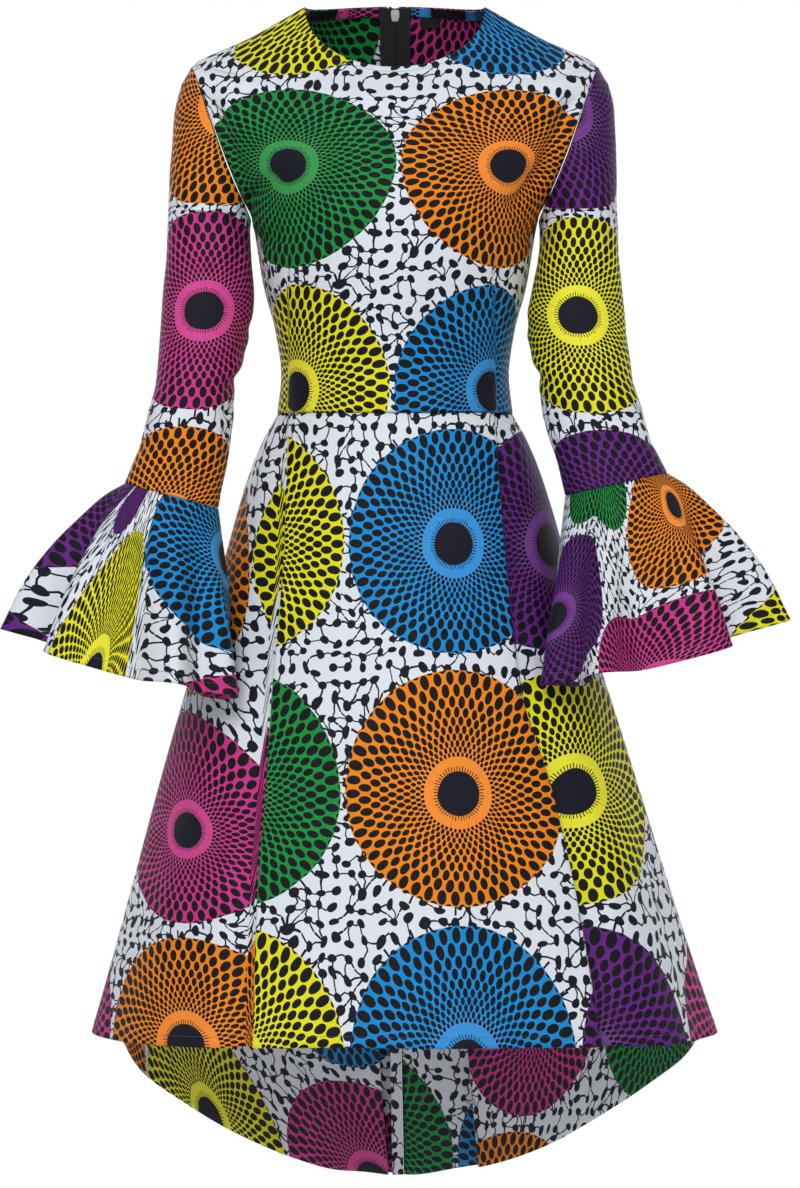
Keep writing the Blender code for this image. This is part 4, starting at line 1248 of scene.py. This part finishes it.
def skirt_rows(face, side, table, rows, edge_x):
    out = []
    for way in rows:
        way = max(way, SEAM_GAP / 2 / (WAIST_Z - HEM_SIDE_Z))
        key = PICTURE_SIDE[side]
        fold = abs(fold_angle(abs(float(table.get("fold_" + key, way))), way, face))
        drop = max(WAIST_Z - float(skirt_z(fold, way, face)), 0.0)
        half = float(SKIRT.get("half", drop))
        deep = float(SKIRT.get(face, drop))
        first = abs(fold_angle(edge_x(way), way, face)) if edge_x(way) > 0 else 0.0
        side_drop = max(WAIST_Z - float(skirt_z(math.pi / 2, way, face)), 0.0)
        last = math.pi / 2 - SEAM_GAP / 2 / float(SKIRT.get(face, side_drop))
        path = pleat_path(
            fold,
            float(table.get("depth_" + key, way)),
            float(table.get("lift", way)),
            half,
            deep,
            first,
            last,
            SIGN[side],
            36,
            36,
        )
        angle = np.array([p[0] for p in path])
        inward = np.array([p[1] for p in path])
        out.append(skirt_points(angle, way, face, inward))
    return np.array(out)


FRONT_WAVES = (
    (-1.25, 0.16, 0.006),
    (-0.72, 0.12, -0.004),
    (-0.22, 0.16, 0.005),
    (0.18, 0.15, -0.004),
    (0.52, 0.12, 0.004),
    (1.05, 0.12, -0.005),
    (1.32, 0.10, 0.006),
)
BACK_WAVES = (
    (-1.30, 0.12, 0.010),
    (-1.00, 0.12, -0.008),
    (-0.30, 0.10, 0.010),
    (-0.12, 0.09, -0.010),
    (0.08, 0.08, 0.012),
    (0.26, 0.08, -0.010),
    (0.80, 0.12, 0.008),
    (1.15, 0.12, -0.008),
)


def hang(points, waves, face, way):
    """Slow lengthwise waves that grow towards the hem."""
    angle = np.arctan2(points[..., 0], -points[..., 1] if face == "front" else points[..., 1])
    total = np.zeros(points.shape[:2])
    for at, wide, deep in waves:
        total += deep * np.exp(-(((angle - at) / wide) ** 2))
    grow = np.clip((way - 0.15) / 0.85, 0.0, 1.0) ** 1.3
    flat = np.hypot(points[..., 0], points[..., 1])
    edge = np.clip((math.pi / 2 - np.abs(angle)) / 0.10, 0.0, 1.0)
    moved = total * grow * edge
    out = points.copy()
    out[..., 0] -= points[..., 0] / flat * moved
    out[..., 1] -= points[..., 1] / flat * moved
    return out


inner_edge = {}
NECK_STITCH = 0.008
HEM_STITCH = 0.010


def build_skirt():
    made = []
    ways = np.concatenate([np.linspace(0.0, 0.02, 4)[:-1], np.linspace(0.02, 1.0, 118)])
    right = skirt_rows("front", "right", FRONT_PLEAT, ways, lambda way: 0.0)
    left = skirt_rows("front", "left", FRONT_PLEAT, ways, lambda way: 0.0)
    points = np.concatenate([right[:, ::-1], left[:, 1:]], axis=1)
    middle = right.shape[1] - 1
    lengths = row_lengths(points)
    arc = lengths - lengths[:, middle][:, None]
    down = column_lengths(points)[:, middle][:, None] + np.zeros_like(arc)
    points = hang(points, FRONT_WAVES, "front", ways[:, None])
    row_ways = ways[:, None]
    u = (arc - SKIRT_PRINT_U) * SKIRT_PRINT.get("across", row_ways)
    v = down + SKIRT_PRINT_V + SKIRT_PRINT.get("along", row_ways)
    first_side = 36 + 1 + 5 + 11 + 3 + 11
    for key, sign in (("left", -1.0), ("right", 1.0)):
        start = middle + int(sign) * first_side
        zone = slice(0, start) if sign < 0 else slice(start, None)
        out = (arc[:, zone] - arc[:, start][:, None]) * (SIDE_PRINT_ACROSS[key] - 1.0)
        u[:, zone] += out + SKIRT_PRINT.get("across_" + key, row_ways)
        v[:, zone] += SKIRT_PRINT.get("along_" + key, row_ways)
    keep_rail("hem_front", points, HEM_STITCH)
    item = cloth("cloth_skirt_front", points, np.stack([u, v], axis=-1), flip=True)
    made.append((item, "skirt_front"))
    for side in ("left", "right"):
        def edge_x(way):
            if way <= ZIP_END_WAY:
                return ZIP_HALF_OPENING
            return max(0.0003, ZIP_HALF_OPENING * (1.0 - (way - ZIP_END_WAY) / 0.02))

        points = skirt_rows("back", side, BACK_PLEAT, ways, edge_x)
        lengths = row_lengths(points) * SIGN[side]
        down = column_lengths(points)[:, :1] + np.zeros_like(lengths)
        points = hang(points, BACK_WAVES, "back", ways[:, None])
        keep_rail("hem_back_" + side, points, HEM_STITCH)
        inner_edge[side] = points[:, 0]
        across, slope, move_u, move_v = BACK_PRINT[side]
        u = move_u - across * lengths
        v = down + slope * np.abs(lengths) + move_v
        uvs = np.stack([u, v], axis=-1)
        item = cloth("cloth_skirt_back_" + side, points, uvs, flip=side == "right", materials=PRINT_BACK)
        made.append((item, "skirt_back_" + side))
    return made


# How the cloth's hang moves the print on the skirt's front: a scale across the middle, a shift
# along it, and the shifts of the panels beside the two pleats.
SKIRT_PRINT_COLUMNS = ("way", "across", "along", "across_left", "along_left", "across_right", "along_right")
SKIRT_PRINT_ROWS = (
    (0.00, 1.03, -0.0040, 0.018, -0.010, -0.022, 0.000),
    (0.10, 1.03, -0.0045, 0.020, -0.016, -0.022, 0.000),
    (0.21, 1.025, -0.0068, 0.021, -0.020, -0.022, 0.000),
    (0.32, 1.015, -0.0050, 0.020, -0.026, -0.020, 0.000),
    (0.41, 0.99, -0.0013, 0.018, -0.034, -0.017, 0.002),
    (0.50, 0.975, -0.0040, 0.014, -0.038, -0.012, 0.004),
    (0.61, 0.970, -0.0087, 0.012, -0.039, -0.012, 0.003),
    (0.78, 0.965, -0.0030, 0.016, -0.020, -0.020, 0.002),
    (0.88, 0.960, -0.0090, 0.018, -0.002, -0.028, 0.000),
    (1.00, 0.960, -0.0195, 0.018, 0.016, -0.036, 0.000),
)
SKIRT_PRINT = Table(SKIRT_PRINT_COLUMNS, SKIRT_PRINT_ROWS)
SIDE_PRINT_ACROSS = {"left": 0.86, "right": 0.80}
SKIRT_PRINT_U = 0.057
SKIRT_PRINT_V = -0.124
# Stretch across, slope, and where on the bolt the centre back edge at the waist lies.
BACK_PRINT = {
    "right": (1.08, 0.05, 0.130, 0.100),
    "left": (1.08, -0.33, 0.166 + 8 * PITCH_U, 0.155),
}


# Small pieces

STITCH_LENGTH = 0.0024
STITCH_SPACE = 0.0009
THREAD_HALF = 0.00021
FACING_LAST_TURN = 0.035
FACING_DEPTH = 0.010
BACK_RISE_PER_LEVEL = 0.030
CLOTH_GAP = 0.0021
TAPE_HALF = 0.0155
# Where the middle of the back neck lies on the bolt for each half of the facing.
FACING_PRINT = {"right": (-3 * PITCH_U + 0.080, -0.004), "left": (-0.056, -0.004)}


def stitches(name, rail, lift, material, length=STITCH_LENGTH, space=STITCH_SPACE, half=THREAD_HALF):
    """A row of stitches, each a short thread that dips into the cloth at both ends."""
    line, sides = rail
    step = np.linalg.norm(np.diff(line, axis=0), axis=-1)
    at = np.concatenate([[0.0], np.cumsum(step)])
    verts = []
    faces = []
    count = int(at[-1] / (length + space))
    shares = ((0.0, -0.4, 0.3), (0.14, 0.55, 1.0), (0.5, 0.9, 1.0), (0.86, 0.55, 1.0), (1.0, -0.4, 0.3))
    for n in range(count):
        start = n * (length + space) + space / 2
        base = len(verts)
        for share, up, thick in shares:
            where = start + length * share
            spot = np.array([np.interp(where, at, line[:, k]) for k in range(3)])
            ahead = np.array([np.interp(where + 0.0006, at, line[:, k]) for k in range(3)])
            side = np.array([np.interp(where, at, sides[:, k]) for k in range(3)])
            side = side / np.linalg.norm(side)
            along = ahead - spot
            across = np.cross(side, along)
            size = np.linalg.norm(across)
            if size < 1e-9:
                across = np.array([1.0, 0.0, 0.0])
                size = 1.0
            across = across / size * half * thick
            out = side * half * thick
            middle = spot + side * (lift + half * up)
            for a, b in ((1, 0), (0, 1), (-1, 0), (0, -1)):
                verts.append(tuple(middle + across * a + out * b))
        for r in range(len(shares) - 1):
            for c in range(4):
                d = (c + 1) % 4
                faces.append((base + 4 * r + c, base + 4 * r + d, base + 4 * r + 4 + d, base + 4 * r + 4 + c))
        faces.append((base + 3, base + 2, base + 1, base))
        last = base + 4 * (len(shares) - 1)
        faces.append((last, last + 1, last + 2, last + 3))
    return add_object(name, verts, faces, [material])


def rail_outward(name):
    """The rail with its normals turned away from the middle of the tube it lies on."""
    line, sides = RAILS[name]
    middle = line.mean(axis=0)
    if name.startswith(("hem", "neck")):
        middle = np.array([0.0, 0.0, line[:, 2].mean() - (0.10 if name.startswith("neck") else 0.0)])
    if np.sum(sides * (line - middle)) < 0.0:
        sides = -sides
    return line, sides


def build_stitches():
    made = []
    for name in RAILS:
        if name.startswith("neck"):
            owner = "bodice" + name[4:]
            label = "neck_stitches" + name[4:]
        elif name.startswith("hem"):
            owner = "skirt" + name[3:]
            label = "hem_stitches" + name[3:]
        else:
            owner = "flounce" + name[4:]
            label = "cuff_stitches" + name[4:]
        item = stitches(label, rail_outward(name), 0.00004, THREAD)
        made.append((item, owner))
    return made


def inner_back_point(angle, level, inset):
    """Points on the back surface moved to the inside along its normal."""
    low = np.minimum(level, NECK_LEVEL - 0.02)
    here = body_points(angle, level, "back")
    base = body_points(angle, low, "back")
    along = body_points(angle + 0.01, low, "back") - base
    up = body_points(angle, low + 0.02, "back") - base
    normal = np.cross(along, up)
    normal = normal / np.linalg.norm(normal, axis=-1, keepdims=True)
    normal = np.where(normal[..., 1:2] < 0.0, -normal, normal)
    return here - normal * inset


def build_facings():
    made = []
    for side in ("left", "right"):
        level = np.linspace(NECK_LEVEL, NECK_LEVEL - FACING_DEPTH / BACK_RISE_PER_LEVEL, 13)[:, None]
        half = BODY.get("half", level)
        first = np.arcsin(TAPE_HALF / half) + 0.01
        share = np.linspace(0.0, 1.0, 61)[None, :]
        angle = (first + (math.pi / 2 - FACING_LAST_TURN - first) * share) * SIGN[side]
        points = inner_back_point(angle, level, CLOTH_GAP)
        u = (row_lengths(points) + TAPE_HALF) * SIGN[side] + FACING_PRINT[side][0]
        v = column_lengths(points) + FACING_PRINT[side][1]
        uvs = np.stack([u, v], axis=-1)
        item = cloth("cloth_facing_" + side, points, uvs, flip=side == "left", materials=PRINT)
        made.append((item, "neck_facing_" + side))
    return made


def centre_back_profile():
    """The cloth's outer line at the centre back from the neck down, as (y, z)."""
    level = np.linspace(NECK_LEVEL, 0.0, 80)
    angle = np.arcsin(0.0026 / (BODY.get("half", level) / np.sin(edge_angle(level, "back"))))
    top = body_points(angle, level, "back")
    way = np.linspace(0.0, ZIP_END_WAY, 24)[1:]
    low = skirt_points(np.full_like(way, 0.03), way, "back")
    points = np.concatenate([top, low])
    return points[:, 1], points[:, 2]


COIL_PITCH = 0.00135
COIL_HALF = (0.00115, 0.00030, 0.00045)
COIL_STAND = 0.0002


def boxes(name, spots, material):
    """Small eight-sided pieces, each given by centre and three half-edge vectors."""
    verts = []
    faces = []
    for centre, ex, ey, ez in spots:
        base = len(verts)
        for cx in (-1.0, 1.0):
            for cy, cz in ((-0.5, -1.0), (0.5, -1.0), (1.0, -0.5), (1.0, 0.5), (0.5, 1.0), (-0.5, 1.0), (-1.0, 0.5), (-1.0, -0.5)):
                verts.append(tuple(centre + ex * cx + ey * cy + ez * cz))
        for k in range(8):
            n = (k + 1) % 8
            faces.append((base + k, base + n, base + 8 + n, base + 8 + k))
        faces.append(tuple(base + 7 - k for k in range(8)))
        faces.append(tuple(base + 8 + k for k in range(8)))
    return add_object(name, verts, faces, [material])


def along_back(distance, ys, zs):
    at = np.concatenate([[0.0], np.cumsum(np.hypot(np.diff(ys), np.diff(zs)))])
    y = np.interp(distance, at, ys)
    z = np.interp(distance, at, zs)
    y2 = np.interp(distance + 0.001, at, ys)
    z2 = np.interp(distance + 0.001, at, zs)
    down = np.array([0.0, y2 - y, z2 - z])
    down = down / np.linalg.norm(down)
    outward = np.array([0.0, -down[2], down[1]])
    return np.array([0.0, y, z]), down, outward, at[-1]


def build_zip_details():
    """Teeth on the outer face and thread lines on the tapes."""
    made = []
    ys, zs = centre_back_profile()
    _, _, _, total = along_back(0.0, ys, zs)
    for side in ("left", "right"):
        sign = SIGN[side]
        spots = []
        count = int((total - 0.026) / COIL_PITCH)
        for n in range(count):
            shift = 0.020 + (n + (0.5 if side == "left" else 0.0)) * COIL_PITCH
            spot, down, outward, _ = along_back(shift, ys, zs)
            spot = spot + outward * COIL_STAND + np.array([sign * 0.00125, 0.0, 0.0])
            spots.append((spot, np.array([COIL_HALF[0], 0.0, 0.0]), outward * COIL_HALF[1], down * COIL_HALF[2]))
        made.append((boxes("zip_teeth_" + side, spots, COIL), "zip_chain"))
        line = []
        sides = []
        for distance in np.arange(0.003, 0.30, 0.004):
            spot, down, outward, _ = along_back(distance, ys, zs)
            line.append(spot - outward * 0.0031 + np.array([sign * 0.0040, 0.0, 0.0]))
            sides.append(-outward)
        rail = (np.array(line), np.array(sides))
        item = stitches("zip_stitches_" + side, rail, 0.00003, TAPE_THREAD, length=0.0022, space=0.0008)
        made.append((item, "zip_tape_" + side))
    return made


PLATE_ROWS = (
    (-0.0062, 0.0034),
    (-0.0048, 0.0046),
    (-0.0015, 0.0050),
    (0.0022, 0.0046),
    (0.0048, 0.0036),
    (0.0066, 0.0038),
)
PLATE_THICK = 0.0010


def build_slider_plate():
    """The silver plate that shows inside the neck, in front of the tapes."""
    ys, zs = centre_back_profile()
    spot, down, outward, _ = along_back(0.0075, ys, zs)
    verts = []
    faces = []
    for at, half in PLATE_ROWS:
        for x, back in ((-half, 0.0), (-half * 0.86, 1.0), (half * 0.86, 1.0), (half, 0.0)):
            verts.append(tuple(spot - outward * (0.0031 + PLATE_THICK * back) + down * at + np.array([x, 0.0, 0.0])))
    for r in range(len(PLATE_ROWS) - 1):
        for c in range(4):
            d = (c + 1) % 4
            faces.append((4 * r + c, 4 * r + d, 4 * r + 4 + d, 4 * r + 4 + c))
    faces.append((3, 2, 1, 0))
    last = 4 * (len(PLATE_ROWS) - 1)
    faces.append((last, last + 1, last + 2, last + 3))
    plate = add_object("zip_slider_plate", verts, faces, [METAL], smooth=False)
    mod = plate.modifiers.new("edges", "BEVEL")
    mod.width = 0.00025
    mod.segments = 2
    spots = []
    for at, half, tall in ((-0.0022, 0.0026, 0.00035), (0.0030, 0.0024, 0.00030)):
        middle = spot - outward * (0.0031 + PLATE_THICK) + down * at
        spots.append((middle, np.array([half, 0.0, 0.0]), outward * 0.00022, down * tall))
    for x in (-0.0014, 0.0014):
        middle = spot - outward * (0.0031 + PLATE_THICK) + down * 0.0004 + np.array([x, 0.0, 0.0])
        spots.append((middle, np.array([0.0003, 0.0, 0.0]), outward * 0.00022, down * 0.0024))
    ridges = boxes("zip_slider_ridges", spots, METAL)
    return [(plate, "zip_slider"), (ridges, "zip_slider")]


SEAM_ALLOWANCE = 0.0120


def build_back_seam():
    """The pressed seam allowance inside the centre back, and the black overlock on its edge."""
    line = inner_edge["right"]
    ways = np.linspace(0.0, 1.0, len(line))
    start = int(np.searchsorted(ways, ZIP_END_WAY + 0.03))
    line = line[start:]
    inward = np.array([0.0, -1.0, 0.0])
    share = np.linspace(0.0, 1.0, 7)[None, :, None]
    across = np.array([-1.0, 0.0, 0.0])
    base = line[:, None, :] + inward * 0.0024
    points = base + across * SEAM_ALLOWANCE * share + inward * 0.0006 * np.sin(share * math.pi)
    down = column_lengths(points)
    uvs = np.stack([share[..., 0] * SEAM_ALLOWANCE + down * 0.0 + 0.31, down + 0.07], axis=-1)
    strip = cloth("cloth_back_seam_allowance", points, uvs, flip=True, materials=PRINT_BACK)
    verts = []
    faces = []
    edge = points[:, -1]
    at = np.concatenate([[0.0], np.cumsum(np.linalg.norm(np.diff(edge, axis=0), axis=-1))])
    loop = 0.0022
    count = int(at[-1] / loop)
    turn = [(0.0, -0.5), (0.75, -0.25), (1.0, 0.0), (0.75, 0.25), (0.0, 0.5)]
    for n in range(count):
        base_at = (n + 0.5) * loop
        spot = np.array([np.interp(base_at, at, edge[:, k]) for k in range(3)])
        ahead = np.array([np.interp(base_at + 0.002, at, edge[:, k]) for k in range(3)]) - spot
        ahead = ahead / np.linalg.norm(ahead)
        begin = len(verts)
        for reach, swing in turn:
            middle = spot - across * 0.0044 * reach + ahead * loop * swing + inward * 0.0003
            for dx, dy in ((0.00042, 0.0), (0.0, 0.00042), (-0.00042, 0.0), (0.0, -0.00042)):
                verts.append(tuple(middle + ahead * dx + inward * dy))
        for r in range(len(turn) - 1):
            for c in range(4):
                d = (c + 1) % 4
                faces.append((begin + 4 * r + c, begin + 4 * r + d, begin + 4 * r + 4 + d, begin + 4 * r + 4 + c))
        faces.append((begin + 3, begin + 2, begin + 1, begin))
        last = begin + 4 * (len(turn) - 1)
        faces.append((last, last + 1, last + 2, last + 3))
    whip = add_object("overlock_back_seam", verts, faces, [OVERLOCK])
    return [(strip, None), (whip, None)]


def dress_up(pairs, body, replace):
    for item, node in pairs:
        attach(item, body)
        if node and replace:
            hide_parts(node)


def finish_nodes():
    """Materials for the modelled pieces that are shown as they are."""
    looks = {
        "zip_tape_left": TAPE,
        "zip_tape_right": TAPE,
        "zip_chain": COIL,
        "zip_slider": METAL,
        "zip_bridge": METAL,
        "zip_pull": METAL,
        "label": LABEL,
    }
    for name, look in looks.items():
        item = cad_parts[name]
        item.data.materials.clear()
        item.data.materials.append(look)


def main():
    pairs = build_bodice() + build_sleeves() + build_flounces() + build_skirt() + build_facings()
    dress_up(pairs, "dress", True)
    sewn = build_stitches()
    dress_up(sewn, "dress", False)
    seam = build_back_seam()
    dress_up(seam, "dress", False)
    zip_parts = build_zip_details()
    dress_up(zip_parts, "dress", False)
    plate = build_slider_plate()
    dress_up(plate, "dress", False)
    finish_nodes()
    return {item.name: item for item, _ in pairs + sewn + seam + zip_parts + plate}


MADE = main()

# The flat cut of each piece: width, length and area in metres, how it is held, and what holds it.
SHEETS = {
    "cloth_bodice_front": (0.520, 0.400, 0.1570, "hung", ("cloth_bodice_back_left", "cloth_bodice_back_right")),
    "cloth_bodice_back_left": (0.270, 0.430, 0.0812, "hung", ("cloth_bodice_front",)),
    "cloth_bodice_back_right": (0.270, 0.430, 0.0812, "hung", ("cloth_bodice_front",)),
    "cloth_sleeve_left": (0.330, 0.445, 0.1080, "hung", ("cloth_bodice_front", "cloth_bodice_back_left")),
    "cloth_sleeve_right": (0.330, 0.445, 0.1080, "hung", ("cloth_bodice_front", "cloth_bodice_back_right")),
    "cloth_flounce_left": (0.410, 0.410, 0.1040, "hung", ("cloth_sleeve_left",)),
    "cloth_flounce_right": (0.405, 0.405, 0.1020, "hung", ("cloth_sleeve_right",)),
    "cloth_skirt_front": (1.130, 0.640, 0.5540, "folded", ("cloth_bodice_front",)),
    "cloth_skirt_back_left": (0.590, 0.850, 0.3630, "folded", ("cloth_bodice_back_left",)),
    "cloth_skirt_back_right": (0.600, 0.850, 0.3710, "folded", ("cloth_bodice_back_right",)),
    "cloth_facing_left": (0.145, 0.0105, 0.0015, "hung", ("cloth_bodice_back_left",)),
    "cloth_facing_right": (0.145, 0.0105, 0.0015, "hung", ("cloth_bodice_back_right",)),
    "cloth_back_seam_allowance": (0.012, 0.600, 0.0072, "hung", ("cloth_skirt_back_right",)),
}
SEWN_ON = {
    "cloth_bodice_front": ("neck_stitches_front",),
    "cloth_bodice_back_left": ("neck_stitches_back_left", "label"),
    "cloth_bodice_back_right": ("neck_stitches_back_right",),
    "cloth_flounce_left": ("cuff_stitches_left",),
    "cloth_flounce_right": ("cuff_stitches_right",),
    "cloth_skirt_front": ("hem_stitches_front",),
    "cloth_skirt_back_left": ("hem_stitches_back_left",),
    "cloth_skirt_back_right": ("hem_stitches_back_right",),
    "cloth_back_seam_allowance": ("overlock_back_seam",),
}
for title, (width, length, area, held, rests_on) in SHEETS.items():
    SEWN_ON.get(title, ())


# Studio and camera


FLOOR_Z = -1.60
# Small enough that the photo's own view passes above its far edge.
FLOOR_RADIUS = 2.05
WORLD_LIGHT = 0.42


def studio():
    verts = [(0.0, 0.0, FLOOR_Z)]
    faces = []
    sides = 96
    for k in range(sides):
        turn = 2 * math.pi * k / sides
        verts.append((FLOOR_RADIUS * math.cos(turn), FLOOR_RADIUS * math.sin(turn), FLOOR_Z))
        faces.append((0, k + 1, (k + 1) % sides + 1))
    pale = bpy.data.materials.new("pale floor")
    pale.use_nodes = True
    shader = pale.node_tree.nodes["Principled BSDF"]
    shader.inputs["Base Color"].default_value = (0.93, 0.93, 0.94, 1.0)
    shader.inputs["Roughness"].default_value = 0.9
    floor = add_object("studio_floor", verts, faces, [pale])

    world = bpy.data.worlds.new("studio light")
    bpy.context.scene.world = world
    world.use_nodes = True
    # Behind the dress the room is plain white, brighter than the light that it gives.
    sky = world.node_tree
    room = sky.nodes["Background"]
    room.inputs[0].default_value = (1.0, 1.0, 1.0, 1.0)
    room.inputs[1].default_value = WORLD_LIGHT
    white = sky.nodes.new("ShaderNodeBackground")
    white.inputs[0].default_value = (1.0, 1.0, 1.0, 1.0)
    white.inputs[1].default_value = 1.0
    path = sky.nodes.new("ShaderNodeLightPath")
    either = sky.nodes.new("ShaderNodeMixShader")
    sky.links.new(path.outputs["Is Camera Ray"], either.inputs[0])
    sky.links.new(room.outputs[0], either.inputs[1])
    sky.links.new(white.outputs[0], either.inputs[2])
    sky.links.new(either.outputs[0], sky.nodes["World Output"].inputs[0])
    bpy.context.scene.view_settings.view_transform = "Standard"


def area_light(name, place, target, size, power):
    light = bpy.data.lights.new(name, "AREA")
    light.shape = "RECTANGLE"
    light.size = size[0]
    light.size_y = size[1]
    light.energy = power
    item = bpy.data.objects.new(name, light)
    item.location = place
    item.rotation_euler = (Vector(target) - Vector(place)).to_track_quat("-Z", "Y").to_euler()
    bpy.context.scene.collection.objects.link(item)


def camera():
    lens = bpy.data.cameras.new("photo view")
    lens.lens = 90.9
    lens.sensor_fit = "VERTICAL"
    lens.sensor_height = 36.0
    item = bpy.data.objects.new("photo view", lens)
    item.location = (0.005, -3.0, -0.587)
    item.rotation_euler = (math.pi / 2, 0.0, 0.0)
    bpy.context.scene.collection.objects.link(item)
    bpy.context.scene.camera = item


studio()
area_light("key", (-0.7, -3.2, 1.3), (0.0, 0.0, -0.5), (1.4, 1.4), 60.0)
area_light("fill", (1.6, -3.2, 0.0), (0.0, 0.0, -0.6), (1.6, 2.0), 15.0)
area_light("back left", (-1.8, 3.0, 0.3), (0.0, 0.0, -0.6), (1.6, 2.4), 24.0)
area_light("back right", (1.8, 3.0, 0.3), (0.0, 0.0, -0.6), (1.6, 2.4), 24.0)
camera()
